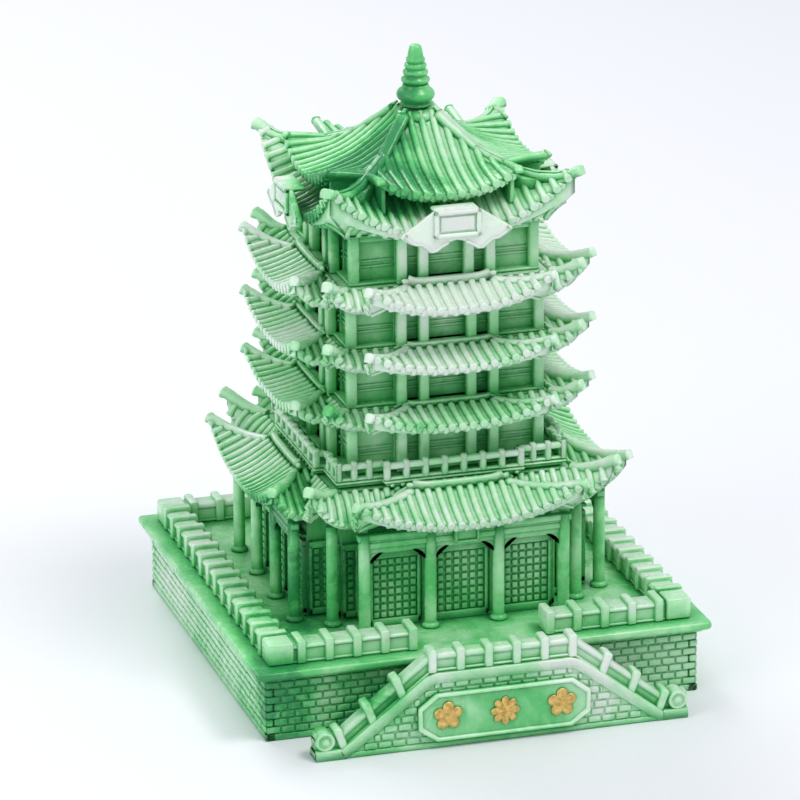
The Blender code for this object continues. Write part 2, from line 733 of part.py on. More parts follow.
def build_gable(name):
    """The winged board under a raised eave, with a blank framed tablet and its hood."""
    lobe_z, point_z, top_z = GABLE_Z
    half, stand_off, rim = GABLE_FRAME
    lobe_x = 5.7 * MM
    valley_z = lobe_z + 0.7 * (point_z - lobe_z)
    right = [(lobe_x / 2, lobe_z + 0.45 * (point_z - lobe_z)), (lobe_x, lobe_z),
             ((lobe_x + GABLE_HALF) / 2, valley_z - rim / 2), (GABLE_HALF, point_z), (half, top_z)]
    left = [(-x, z) for x, z in reversed(right)]
    board = plate(name, [(0.0, valley_z), *right, *left], 0.0, GABLE_THICK)
    upright(board, GABLE_Y, GABLE_THICK)
    frame_low = point_z - rim / 2
    proud = GABLE_Y - stand_off
    frame = boxes(name + "_frame", [((-half, proud, frame_low),
                                     (half, GABLE_Y + GABLE_THICK / 2, top_z + rim / 4))])
    hood_low = top_z - 2 * rim
    hood = boxes(name + "_hood", [((-half + rim / 4, GABLE_Y + GABLE_THICK / 4, hood_low),
                                   (half - rim / 4, GABLE_HOOD_BACK, top_z))])
    recess = boxes(name + "_recess", [((-half + rim, proud - rim, frame_low + rim),
                                       (half - rim, GABLE_Y - stand_off / 4, top_z - rim))])
    return finish(carved(joined(board, frame, hood), recess), PALE_JADE)


# Balcony and storeys


def build_balcony():
    bay_half, reach = DECK_BAY
    finish(plate("balcony_deck", cross(DECK_SQUARE, bay_half, reach), *DECK_Z))
    inset = BALCONY_RAIL
    line = DECK_SQUARE - inset
    bay = bay_half - inset
    front = reach - inset
    corner_gap = BALCONY_RAIL / 2 + FIT
    path = [(-line, -line), (-bay, -line), (-bay, -front), (bay, -front), (bay, -line),
            (line - corner_gap, -line)]
    foot = DECK_Z[1] + FIT
    low, foot_top, rail_low, rail_high = (foot + z for z in BALCONY_RAIL_Z)
    spots = [(x, -front) for x in spread(-bay, bay, 8)]
    side_posts = spread(bay, line, 4)[1:-1]
    spots += [(sign * x, -line) for x in side_posts for sign in (-1, 1)]
    spots.append((-line, -line))
    for side, quarter in SIDES.items():
        name = "balcony_railing_" + side
        top = plate(name, ribbon(path, BALCONY_RAIL), rail_low, rail_high)
        sill = plate(name + "_sill", ribbon(path, BALCONY_RAIL), low, foot_top)
        posts = boxes(name + "_posts", [post_box(x, y, foot, BALCONY_POST) for x, y in spots])
        turn(finish(joined(top, posts, sill)), quarter)


def build_storeys():
    floors = {"storey_2": DECK_Z[1]}
    for number in (3, 4, 5):
        floors[f"storey_{number}"] = ROOFS[f"roof_{number - 1}"][4][3] * MM
    ceilings = {f"storey_{n}": ROOFS[f"roof_{n}"][4][0] * MM + CEILING_RISE for n in (2, 3, 4)}
    ceilings["storey_5"] = LOWER_EAVE[1] + CEILING_RISE
    for name, floor in floors.items():
        share = TOP_STOREY_SHARE if name == "storey_5" else 1.0
        build_storey(name, floor + FIT, ceilings[name] - FIT, share)


def build_storey(name, low, high, share):
    """A walled storey between thin plates, with columns that stand free in front."""
    half, bay_half, reach = (v * share for v in STOREY_BODY)
    inner_x, outer_x, column_y, corner = (v * share for v in STOREY_COLUMNS)
    edge = COLUMN_SIDE / 2 + STOREY_PLATE / 6
    sunk = STOREY_PLATE / 2  # walls and columns end inside the plates
    ledge = cross(corner + edge, outer_x + edge, column_y + edge)
    floor = plate(name, ledge, low, low + STOREY_PLATE)
    body = plate(name + "_walls", cross(half, bay_half, reach), low + sunk, high - sunk)
    ceiling = plate(name + "_ceiling", ledge, high - STOREY_PLATE, high)
    size = (COLUMN_SIDE, COLUMN_SIDE, high - low - 1.5 * sunk)
    front = [(-outer_x, -column_y), (-inner_x, -column_y), (inner_x, -column_y),
             (outer_x, -column_y), (corner, -corner)]
    spans = [post_box(x, y, low + 0.75 * sunk, size) for x, y in four_sides(front)]
    finish(joined(floor, body, boxes(name + "_columns", spans), ceiling))


# Finial


def arc_profile(center_z, radius, half_height, steps, start=0.0, end=180.0):
    """Points round the outer side of an oval, from its top down."""
    points = []
    for i in range(steps + 1):
        angle = math.radians(start + (end - start) * i / steps)
        points.append((radius * math.sin(angle), center_z + half_height * math.cos(angle)))
    return points


def build_finial():
    middle = (BULB_BASE + BULB_TOP) / 2
    tall = (BULB_TOP - BULB_BASE) / 2
    side = [(r, z) for r, z in arc_profile(middle, BULB_RADIUS, tall, 10) if r > BULB_NECK]
    bulb = [(0.0, BULB_TOP), (BULB_NECK, BULB_TOP), *side, (BULB_NECK, BULB_BASE), (0.0, BULB_BASE)]
    finish(turned("finial_bulb", bulb), DEEP_JADE)
    foot_radius, foot_z, tip_radius, tip_z = CONE
    round_tip = 0.4 * MM
    spire = [(0.0, tip_z), (tip_radius - round_tip, tip_z), (tip_radius, tip_z - round_tip),
             (foot_radius, foot_z)]
    for radius, z in reversed(SPIRE_RINGS):
        spire += [(r + radius - RING_ROUND, h)
                  for r, h in arc_profile(z, RING_ROUND, RING_ROUND, 6, 20, 160)]
    spire += [(SPIRE_RINGS[0][0] - RING_ROUND, SPIRE_BASE), (0.0, SPIRE_BASE)]
    finish(turned("finial_spire", spire), DEEP_JADE)


def smooth_round_pieces():
    for part in TOWER.objects:
        if part.name.startswith(("finial", "hall_corner", "hall_colonnade")):
            part.data.shade_smooth()
            part.data.set_sharp_from_angle(angle=math.radians(35))


clear_scene()
TOWER = new_collection("jade_tower")
CUTTERS = new_collection("jade_tower_tools")
build_plinth()
build_parapets()
build_stair_wall()
build_balustrade()
build_stair_core()
build_plaque()
build_hall()
build_roofs()
build_balcony()
build_storeys()
build_top_roof()
build_finial()
smooth_round_pieces()
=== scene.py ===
"""Looks of the jade tower souvenir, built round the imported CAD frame.

Shapes are worked out in millimetres in the CAD's own frame: +Z up, the front faces -Y.
A shape that repeats on all four sides is made at the front and turned by quarter turns.
"""

import itertools
import math
import random

import bmesh
import bpy
import numpy as np
from mathutils import Matrix, Vector


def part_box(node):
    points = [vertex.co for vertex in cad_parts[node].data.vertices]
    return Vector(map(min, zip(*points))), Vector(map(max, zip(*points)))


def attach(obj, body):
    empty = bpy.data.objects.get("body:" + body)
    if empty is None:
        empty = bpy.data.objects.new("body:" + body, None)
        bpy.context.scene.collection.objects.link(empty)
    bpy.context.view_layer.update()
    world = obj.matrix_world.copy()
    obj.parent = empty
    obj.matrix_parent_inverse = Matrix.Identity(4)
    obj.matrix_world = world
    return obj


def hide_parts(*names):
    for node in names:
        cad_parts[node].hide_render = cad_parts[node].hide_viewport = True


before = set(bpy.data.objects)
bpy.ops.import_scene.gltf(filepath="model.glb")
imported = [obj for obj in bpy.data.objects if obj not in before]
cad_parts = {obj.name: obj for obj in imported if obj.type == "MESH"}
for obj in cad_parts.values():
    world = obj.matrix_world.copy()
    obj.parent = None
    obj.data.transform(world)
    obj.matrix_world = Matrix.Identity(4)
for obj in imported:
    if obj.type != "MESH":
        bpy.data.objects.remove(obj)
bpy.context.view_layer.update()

MM = 0.001
QUARTERS = (0, 1, 2, 3)
SIDES = ("front", "right", "rear", "left")
UP = Vector((0, 0, 1))


def span(node):
    """Lowest and highest corner of a CAD node in millimetres."""
    low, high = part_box(node)
    return Vector(low) / MM, Vector(high) / MM


# Meshes


CORNERS = list(itertools.product((0, 1), repeat=3))


def box_faces():
    """Faces of a box with bevelled edges whose vertex 3 * corner + axis lies on that axis' face."""
    index = {corner: 3 * i for i, corner in enumerate(CORNERS)}
    faces = [(3 * i, 3 * i + 1, 3 * i + 2) for i in range(8)]
    for a in range(3):
        b, c = (a + 1) % 3, (a + 2) % 3
        for side in (0, 1):
            loop = []
            for u, v in ((0, 0), (1, 0), (1, 1), (0, 1)):
                corner = [0, 0, 0]
                corner[a], corner[b], corner[c] = side, u, v
                loop.append(index[tuple(corner)] + a)
            faces.append(tuple(loop))
        for side_a, side_b in itertools.product((0, 1), repeat=2):
            ends = []
            for end in (0, 1):
                corner = [0, 0, 0]
                corner[a], corner[b], corner[c] = side_a, side_b, end
                ends.append(index[tuple(corner)])
            faces.append((ends[0] + a, ends[1] + a, ends[1] + b, ends[0] + b))
    return faces


BOX_FACES = box_faces()


class Solid:
    """Closed shapes that make up one piece."""

    def __init__(self):
        self.points = []
        self.faces = []

    def add(self, points, faces):
        start = len(self.points)
        self.points.extend(tuple(point) for point in points)
        self.faces.extend(tuple(start + i for i in face) for face in faces)

    def box(self, low, high, edge=0.2, place=None):
        edge = min(edge, 0.4 * min(b - a for a, b in zip(low, high)))
        points = []
        for corner in CORNERS:
            spot = [(low, high)[side][axis] for axis, side in enumerate(corner)]
            for face_axis in range(3):
                points.append([spot[axis] if axis == face_axis
                               else spot[axis] + (edge if corner[axis] == 0 else -edge)
                               for axis in range(3)])
        if place:
            points = [place @ Vector(point) for point in points]
        self.add(points, BOX_FACES)

    def rings(self, rings, loop=False):
        """Joins rings of equally many points, and closes both ends or joins them in a loop."""
        count = len(rings[0])
        points = [point for ring in rings for point in ring]
        faces = []
        for r in range(len(rings) if loop else len(rings) - 1):
            n = (r + 1) % len(rings)
            for i in range(count):
                j = (i + 1) % count
                faces.append((r * count + i, r * count + j, n * count + j, n * count + i))
        if not loop:
            faces.append(tuple(range(count - 1, -1, -1)))
            faces.append(tuple((len(rings) - 1) * count + i for i in range(count)))
        self.add(points, faces)

    def sweep(self, path, section, scales=None):
        """A bar along a path. section lists (side, lift) offsets, scales one factor per point."""
        path = [Vector(point) for point in path]
        rings = []
        for i, spot in enumerate(path):
            ahead = path[min(i + 1, len(path) - 1)] - path[max(i - 1, 0)]
            side = ahead.cross(UP).normalized()
            lift = side.cross(ahead).normalized()
            scale = scales[i] if scales else 1.0
            rings.append([spot + (side * a + lift * b) * scale for a, b in section])
        self.rings(rings)

    def turned(self, profile, x=0.0, y=0.0, sides=24):
        """A body turned round Z from (radius, z) points."""
        angles = [2 * math.pi * i / sides for i in range(sides)]
        self.rings([[(x + r * math.cos(a), y + r * math.sin(a), z) for a in angles]
                    for r, z in profile])

    def slab(self, outline, front, back, edge=0.2):
        """An upright plate: an outline in X and Z, from one Y to another, with bevelled edges."""
        small = inset(outline, edge)
        rings = []
        for y, loop in ((front, small), (front + edge, outline),
                        (back - edge, outline), (back, small)):
            rings.append([(x, y, z) for x, z in loop])
        self.rings(rings)

    def moulding(self, levels, corner=1.0):
        """A square body with rounded corners from (half width, z) levels."""
        self.rings([[(x, y, z) for x, y in rounded_square(half, corner)] for half, z in levels])

    def copies(self, quarters=QUARTERS, mirrored=False):
        """This shape on several sides, and mirrored left to right as well."""
        made = Solid()
        points = np.array(self.points)
        for quarter in quarters:
            turn = np.array(Matrix.Rotation(math.radians(90 * quarter), 3, "Z"))
            for flip in ((1, -1) if mirrored else (1,)):
                made.add((points * (flip, 1, 1)) @ turn.T, self.faces)
        return made

    def take(self, *others):
        for other in others:
            self.add(other.points, other.faces)
        return self


def inset(outline, distance):
    """Moves each corner of a closed outline inwards."""
    area = sum(a[0] * b[1] - b[0] * a[1] for a, b in zip(outline, outline[1:] + outline[:1]))
    turn = 1 if area > 0 else -1
    moved = []
    for i, (x, y) in enumerate(outline):
        before = Vector(outline[i - 1])
        after = Vector(outline[(i + 1) % len(outline)])
        first = (Vector((x, y)) - before).normalized()
        second = (after - Vector((x, y))).normalized()
        normal = Vector((-first.y - second.y, first.x + second.x)) * turn
        share = max(normal.length_squared / 2, 0.5)
        moved.append((x + normal.x * distance / share, y + normal.y * distance / share))
    return moved


def border(solid, x, z, y, bar, edge):
    """Four bars round an upright rectangle. x, z and y are (low, high) pairs."""
    solid.box((x[0], y[0], z[0]), (x[1], y[1], z[0] + bar), edge)
    solid.box((x[0], y[0], z[1] - bar), (x[1], y[1], z[1]), edge)
    for left in (x[0], x[1] - bar):
        solid.box((left, y[0], z[0]), (left + bar, y[1], z[1]), edge)


def rounded_square(half, radius, steps=4):
    points = []
    for corner, (sx, sy) in enumerate(((-1, -1), (1, -1), (1, 1), (-1, 1))):
        for i in range(steps + 1):
            a = math.radians(180 + 90 * corner + 90 * i / steps)
            points.append((sx * (half - radius) + radius * math.cos(a),
                           sy * (half - radius) + radius * math.sin(a)))
    return points


def circle(radius, sides=10):
    return [(radius * math.cos(2 * math.pi * i / sides),
             radius * math.sin(2 * math.pi * i / sides)) for i in range(sides)]


def rounded_bar(width, height, edge=0.4):
    """Section of a bar whose foot is at lift 0."""
    w, e = width / 2, min(edge, 0.4 * width, 0.4 * height)
    return [(-w, 0), (w, 0), (w, height - e), (w - 0.3 * e, height - 0.3 * e), (w - e, height),
            (e - w, height), (0.3 * e - w, height - 0.3 * e), (-w, height - e)]


def mix(a, b, t):
    return a + (b - a) * t


def spread(low, high, count):
    return [mix(low, high, i / (count - 1)) for i in range(count)]


def piece(name, solid, slot, look, *nodes):
    mesh = bpy.data.meshes.new(name)
    mesh.from_pydata([[v * MM for v in point] for point in solid.points], [], solid.faces)
    bm = bmesh.new()
    bm.from_mesh(mesh)
    bmesh.ops.recalc_face_normals(bm, faces=bm.faces)
    bm.to_mesh(mesh)
    bm.free()
    mesh.shade_smooth()
    mesh.materials.append(look)
    made = bpy.data.objects.new(name, mesh)
    bpy.context.scene.collection.objects.link(made)
    even = made.modifiers.new("even_normals", "WEIGHTED_NORMAL")
    even.weight = 70
    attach(made, "root")
    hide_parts(*nodes)
    return made


# Materials


GREEN_SPOTS = (
    # centre and radius in millimetres, and how green
    ((-40.0, -46.0, 16.0), 12.0, 0.70),
    ((-20.0, -48.0, 16.0), 11.0, 0.55),
    ((-51.0, -26.0, 9.0), 12.0, 0.40),
    ((20.0, -49.0, 17.0), 8.0, 0.50),
    ((-20.0, -64.0, 10.0), 8.0, 0.45),
    ((33.0, -64.0, 9.0), 9.0, 0.40),
    ((-33.0, -6.0, 45.0), 15.0, 0.60),
    ((-27.0, -20.0, 30.0), 15.0, 0.40),
    ((-1.0, -40.0, 43.0), 7.0, 0.65),
    ((-2.0, -33.0, 77.0), 8.0, 0.50),
    ((-24.0, -24.0, 78.0), 9.0, 0.45),
    ((-14.0, -2.0, 119.0), 15.0, 0.95),
    ((-2.0, -13.0, 120.0), 11.0, 0.70),
    ((12.0, 12.0, 119.0), 13.0, 0.55),
    ((-3.0, 3.0, 126.0), 8.0, 0.60),
    ((0.0, 0.0, 134.0), 10.0, 0.75),
    ((-22.0, -34.0, 47.0), 9.0, 0.45),
    ((12.0, -33.0, 94.0), 5.0, 0.40),
    ((-47.0, -47.0, 18.0), 9.0, 0.60),
    ((30.0, 40.0, 12.0), 20.0, 0.45),
    ((34.0, 18.0, 46.0), 14.0, 0.45),
    ((20.0, 30.0, 78.0), 14.0, 0.40),
)
WHITE_SPOTS = (
    ((0.0, -34.0, 92.0), 22.0, 0.35),
    ((10.0, -28.0, 106.0), 20.0, 0.35),
    ((30.0, 10.0, 92.0), 22.0, 0.25),
    ((28.0, -52.0, 20.0), 12.0, 0.15),
    ((2.0, -24.0, 114.0), 9.0, 0.25),
    ((-25.0, 2.0, 114.0), 8.0, 0.35),
    ((-24.0, 0.0, 92.0), 14.0, 0.20),
)
NEAR_WHITE = (0.80, 0.93, 0.80)
MINT = (0.47, 0.84, 0.50)
GREEN = (0.12, 0.58, 0.18)
DEEP_GREEN = (0.03, 0.30, 0.09)


class Nodes:
    """A material's node tree, written from the shader back."""

    def __init__(self, name):
        self.material = bpy.data.materials.new(name)
        self.material.use_nodes = True
        self.tree = self.material.node_tree
        self.shader = self.tree.nodes["Principled BSDF"]
        self.place = self.tree.nodes.new("ShaderNodeTexCoord").outputs["Object"]

    def node(self, kind, **settings):
        made = self.tree.nodes.new(kind)
        for key, value in settings.items():
            setattr(made, key, value)
        return made

    def link(self, source, target):
        if hasattr(source, "is_output"):
            self.tree.links.new(source, target)
        else:
            target.default_value = source

    def math(self, operation, a, b=0.0, clamp=False):
        made = self.node("ShaderNodeMath", operation=operation, use_clamp=clamp)
        self.link(a, made.inputs[0])
        self.link(b, made.inputs[1])
        return made.outputs[0]

    def noise(self, scale, detail=3.0, distortion=0.0, place=None):
        made = self.node("ShaderNodeTexNoise")
        made.inputs["Scale"].default_value = scale
        made.inputs["Detail"].default_value = detail
        made.inputs["Distortion"].default_value = distortion
        self.tree.links.new(place or self.place, made.inputs["Vector"])
        return made

    def spots(self, table, place):
        """Soft round regions, added up."""
        total = 0.0
        for center, radius, strength in table:
            away = self.node("ShaderNodeVectorMath", operation="DISTANCE")
            self.tree.links.new(place, away.inputs[0])
            away.inputs[1].default_value = [v * MM for v in center]
            falls = self.node("ShaderNodeMapRange", interpolation_type="SMOOTHSTEP")
            self.tree.links.new(away.outputs["Value"], falls.inputs["Value"])
            falls.inputs["From Min"].default_value = 0.25 * radius * MM
            falls.inputs["From Max"].default_value = 1.25 * radius * MM
            falls.inputs["To Min"].default_value = strength
            falls.inputs["To Max"].default_value = 0.0
            total = self.math("ADD", falls.outputs["Result"], total)
        return total

    def bump(self, height, depth):
        made = self.node("ShaderNodeBump")
        made.inputs["Strength"].default_value = 1.0
        made.inputs["Distance"].default_value = depth
        self.tree.links.new(height, made.inputs["Height"])
        self.tree.links.new(made.outputs["Normal"], self.shader.inputs["Normal"])


def jade(name, green, painted_shade=0.75, cloud=0.55, roughness=0.24):
    """Marbled resin with painted shade: green is the share of green at rest, and the third argument
    how much painted shade deepens the green in hollows.
    """
    look = Nodes(name)
    warp = look.noise(38.0, 2.0)
    shift = look.node("ShaderNodeVectorMath", operation="MULTIPLY_ADD")
    look.tree.links.new(warp.outputs["Color"], shift.inputs[0])
    shift.inputs[1].default_value = (0.016, 0.016, 0.016)
    look.tree.links.new(look.place, shift.inputs[2])
    warped = shift.outputs["Vector"]

    clouds = look.noise(46.0, 4.0, 0.6, warped).outputs["Fac"]
    wisps = look.noise(150.0, 3.0, 1.2, warped).outputs["Fac"]
    amount = look.math("MULTIPLY_ADD", look.math("SUBTRACT", clouds, 0.5), cloud * 1.6)
    amount.node.inputs[2].default_value = green
    wisp = look.math("MULTIPLY", look.math("SUBTRACT", wisps, 0.5), 0.35)
    amount = look.math("ADD", amount, wisp)
    spots = look.spots(GREEN_SPOTS, warped)
    ragged = look.math("MULTIPLY", spots, look.math("MULTIPLY_ADD", wisps, 1.6))
    ragged.node.inputs[1].links[0].from_node.inputs[2].default_value = 0.2
    amount = look.math("ADD", amount, ragged)
    amount = look.math("SUBTRACT", amount, look.spots(WHITE_SPOTS, warped))

    # Painted shade: ambient occlusion turns hollows, corners and recesses a deeper green.
    hollow = look.node("ShaderNodeAmbientOcclusion", samples=4)
    hollow.inputs["Distance"].default_value = 4.5 * MM
    shade_share = look.math("SUBTRACT", 1.0, hollow.outputs["AO"])
    painted_shade_green = look.math("MULTIPLY", shade_share, painted_shade)
    amount = look.math("ADD", amount, painted_shade_green, clamp=True)

    ramp = look.node("ShaderNodeValToRGB")
    ramp.color_ramp.interpolation = "EASE"
    stops = ramp.color_ramp.elements
    stops[0].position, stops[0].color = 0.05, (*NEAR_WHITE, 1)
    stops[1].position, stops[1].color = 1.0, (*DEEP_GREEN, 1)
    for position, color in ((0.30, MINT), (0.66, GREEN)):
        stops.new(position).color = (*color, 1)
    look.tree.links.new(amount, ramp.inputs["Fac"])
    look.tree.links.new(ramp.outputs["Color"], look.shader.inputs["Base Color"])

    sheen = look.node("ShaderNodeMapRange")
    look.tree.links.new(look.noise(320.0, 3.0).outputs["Fac"], sheen.inputs["Value"])
    sheen.inputs["To Min"].default_value = roughness - 0.08
    sheen.inputs["To Max"].default_value = roughness + 0.12
    look.tree.links.new(sheen.outputs["Result"], look.shader.inputs["Roughness"])
    look.bump(look.noise(420.0, 4.0).outputs["Fac"], 0.16 * MM)
    look.shader.inputs["IOR"].default_value = 1.5
    look.shader.inputs["Subsurface Weight"].default_value = 0.35
    look.shader.inputs["Subsurface Radius"].default_value = (0.5, 1.0, 0.55)
    look.shader.inputs["Subsurface Scale"].default_value = 1.6 * MM
    return look.material


def gold_paint():
    """Brushed-on gold with thin places where the jade shows through."""
    look = Nodes("gold_paint")
    grain = look.noise(900.0, 4.0).outputs["Fac"]
    ramp = look.node("ShaderNodeValToRGB")
    stops = ramp.color_ramp.elements
    stops[0].position, stops[0].color = 0.30, (0.50, 0.28, 0.06, 1)
    stops[1].position, stops[1].color = 0.62, (0.86, 0.60, 0.20, 1)
    look.tree.links.new(grain, ramp.inputs["Fac"])
    look.tree.links.new(ramp.outputs["Color"], look.shader.inputs["Base Color"])
    rough = look.node("ShaderNodeMapRange")
    look.tree.links.new(grain, rough.inputs["Value"])
    rough.inputs["To Min"].default_value = 0.28
    rough.inputs["To Max"].default_value = 0.55
    look.tree.links.new(rough.outputs["Result"], look.shader.inputs["Roughness"])
    look.shader.inputs["Metallic"].default_value = 0.65
    look.bump(grain, 0.05 * MM)
    return look.material


plinth_look = jade("jade_plinth", 0.25)
terrace_look = jade("jade_terrace", 0.46)
rail_look = jade("jade_rail", 0.20)
hall_look = jade("jade_hall", 0.46)
storey_look = jade("jade_storey", 0.32)
roof_look = jade("jade_roof", 0.20)
pale_look = jade("jade_pale", 0.14)
deep_look = jade("jade_deep", 0.31)
finial_look = jade("jade_finial", 0.62, cloud=0.3)
gold_look = gold_paint()


# Base: brick plinth, coping and floor


BRICK = (3.2, 1.75, 0.22)  # length, height, joint
JOINT_DEPTH = 0.38
BAND = 1.6  # height of the plain foot band
dice = random.Random(11)


def brick_courses(solid, face_y, low, high, half_width, skip=None):
    """Rows of bricks facing -Y. half_width gives half the wall's width at a height."""
    length, height, joint = BRICK
    courses = round((high - low) / height)
    height = (high - low) / courses
    for row in range(courses):
        foot = low + row * height
        limit = half_width(foot + height)
        start = -limit - (0.5 * length if row % 2 else 0.0)
        while start < limit:
            left, right = max(start, -limit), min(start + length, limit)
            start += length
            if right - left < 3 * joint:
                continue
            if skip and skip((left + right) / 2, foot + height / 2):
                continue
            proud = dice.uniform(-0.07, 0.05)
            solid.box((left + joint / 2, face_y - proud, foot + joint / 2),
                      (right - joint / 2, face_y + 1.2, foot + height - joint / 2), 0.26)


def make_plinth():
    high = span("plinth_wall")[1]
    half, top = high.x, high.z
    body = Solid()
    bricks = Solid()
    inside = half - 2.4
    face = half - JOINT_DEPTH
    body.box((-face, -face, 0.0), (face, -inside, top), 0.1)
    body.box((-half, -half, 0.0), (half, -inside, BAND), 0.3)
    brick_courses(bricks, -half, BAND, top, lambda z: half - 0.3)
    wall = Solid().take(body, bricks).copies()
    piece("plinth_brickwork", wall, "jade_plinth", plinth_look, "plinth_wall")


def make_terrace():
    low, high = span("terrace_slab")
    half, bottom, top = high.x, low.z, high.z
    slab = Solid()
    slab.moulding([(half - 2.0, bottom), (half - 1.5, bottom + 0.25), (half - 1.5, bottom + 0.6),
                   (half - 0.5, bottom + 0.9), (half - 0.1, bottom + 1.2), (half, bottom + 1.5),
                   (half, top - 0.5), (half - 0.15, top - 0.15), (half - 0.5, top)], 1.0)
    piece("terrace_floor", slab, "jade_green", terrace_look, "terrace_slab")


# Parapet


WALL_HEIGHT = 4.5
PARAPET_POST = (2.0, 6.3, 5.4)  # width, depth, height
CORNER_BLOCK = (5.9, 5.9, 5.0)
GATE_HALF = 15.8
POST_REACH = 47.6  # the posts are spaced evenly out to here


def parapet_post(solid, x, y, foot, size, edge=0.35):
    """A post that wraps over the coping, from the outer face to the inner one."""
    width, depth, height = size
    w, d = width / 2, depth / 2
    solid.box((x - w, y - d, foot), (x + w, y + d, foot + height), edge)


def parapet_wall(solid, left, right, line, foot, height):
    """A broad wall with a foot course, sunk panels and a heavy rounded coping."""
    solid.box((left, line - 2.25, foot), (right, line + 2.25, foot + height - 0.4), 0.15)
    solid.box((left, line - 2.6, foot), (right, line + 2.6, foot + 0.8), 0.25)
    solid.box((left, line - 2.7, foot + height - 1.4), (right, line + 2.7, foot + height), 0.5)


def make_parapet(name, quarter, left, right, posts, corner_post):
    low, high = span("parapet_front_left")
    line = -(abs(low.y) + abs(high.y)) / 2
    foot = low.z - 0.3
    run = Solid()
    parapet_wall(run, left, right, line, foot, WALL_HEIGHT)
    for x in posts:
        parapet_post(run, x, line, foot, PARAPET_POST)
    if corner_post:
        parapet_post(run, left, line, foot, CORNER_BLOCK, 0.45)
    piece(name + "_masonry", run.copies((quarter,)), "jade_rail", rail_look, name)


def make_parapets():
    corner = abs(span("parapet_front_left")[0].x) - 2.9
    end = corner - 3.0
    run = spread(-POST_REACH, -GATE_HALF, 6)[1:]
    make_parapet("parapet_front_left", 0, -corner, -GATE_HALF, run, True)
    make_parapet("parapet_front_right", 0, GATE_HALF, end, [-x for x in run], False)
    along = spread(-POST_REACH, POST_REACH, 16)[1:-1]
    for quarter, side in ((1, "right"), (2, "rear"), (3, "left")):
        make_parapet("parapet_" + side, quarter, -corner, end, along, True)


# Front stair


SLOPE_START, SLOPE_END = 16.0, 36.4
LANDING_TOP, STAIR_FOOT = 17.4, 1.6
stair_low, stair_high = span("stair_front_wall")
STAIR_Y = stair_low.y
STAIR_HALF = stair_high.x


def stair_top(x):
    share = min(max((abs(x) - SLOPE_START) / (SLOPE_END - SLOPE_START), 0.0), 1.0)
    return mix(LANDING_TOP, STAIR_FOOT, share)


def stair_half_width(z):
    """Half the wall's width at a height, measured to the inside of its coping."""
    share = (LANDING_TOP - 1.6 - z) / (LANDING_TOP - STAIR_FOOT)
    return mix(SLOPE_START, SLOPE_END, share) - 0.6


def stair_line():
    """Points along the top of the stair wall, from left to right."""
    bend = 0.5
    along = [x + offset for x in (-SLOPE_END, -SLOPE_START, SLOPE_START, SLOPE_END)
             for offset in (-bend, bend)]
    return [(x, stair_top(x)) for x in [-STAIR_HALF, *along, STAIR_HALF]]


def in_plaque(x, z):
    low, high = span("plaque_frame")
    return abs(x) < high.x - 2.2 and low.z + 1.0 < z < high.z - 1.0


def make_stair_wall():
    back = stair_high.y
    wall = Solid()
    outline = [(-STAIR_HALF, 0.0), (STAIR_HALF, 0.0)]
    outline += [(x, z) for x, z in reversed(stair_line())]
    wall.slab(outline, STAIR_Y + JOINT_DEPTH, back, 0.1)
    brick_courses(wall, STAIR_Y + 0.05, 1.3, LANDING_TOP - 2.0, stair_half_width, in_plaque)
    wall.box((-STAIR_HALF, STAIR_Y, 0.0), (STAIR_HALF, STAIR_Y + 1.0, 1.35), 0.3)
    coping = [(x, STAIR_Y + 0.6, max(z - 2.3, 0.0)) for x, z in stair_line()]
    wall.sweep(coping, rounded_bar(1.4, 2.3, 0.4))
    piece("stair_brickwork", wall, "jade_plinth", plinth_look, "stair_front_wall")


def make_balustrade():
    middle = (STAIR_Y + stair_high.y) / 2
    high = span("stair_balustrade")[1]
    rail = Solid()
    for lift, width, height, edge in ((0.05, 3.7, 0.7, 0.2), (0.05, 2.7, 3.4, 0.1),
                                      (2.75, 3.6, 1.5, 0.6)):
        flight = [Vector((x, middle, z)) + Vector((0, 0, lift)) for x, z in stair_line()]
        rail.sweep(flight, rounded_bar(width, height, edge))
    landing = spread(-SLOPE_START, SLOPE_START, 6)
    steps = spread(SLOPE_START, STAIR_HALF, 5)[1:-1]
    for x in landing + steps + [-x for x in steps]:
        foot = stair_top(x)
        lean = 0.0 if abs(x) <= SLOPE_START else math.copysign(1.0, x) * 0.35
        place = Matrix.Translation((x, middle, foot)) @ Matrix.Rotation(lean, 4, "Y")
        height = min(5.4, (high.z - foot) + 0.2)
        rail.box((-1.0, -2.25, -0.2), (1.0, 2.25, height - 0.2), 0.4, place)
    for x in (-STAIR_HALF + 2.2, STAIR_HALF - 2.2):
        add_drum(rail, x, middle, STAIR_FOOT + 2.6)
    piece("stair_rail", rail, "jade_rail", rail_look, "stair_balustrade")


def add_drum(solid, x, y, z):
    """A round drum stone on its side, with a raised rim and boss on both faces."""
    profile = [(0.5, 2.5), (0.75, 2.4), (0.95, 2.1), (1.45, 2.1), (1.6, 2.4), (1.95, 2.4),
               (2.2, 2.1), (2.25, 0.0)]
    profile += [(r, -h) for r, h in reversed(profile[:-1])]
    sides = 28
    rings = []
    for r, h in profile:
        rings.append([(x + r * math.cos(2 * math.pi * i / sides), y + h,
                       z + r * math.sin(2 * math.pi * i / sides)) for i in range(sides)])
    solid.rings(rings)


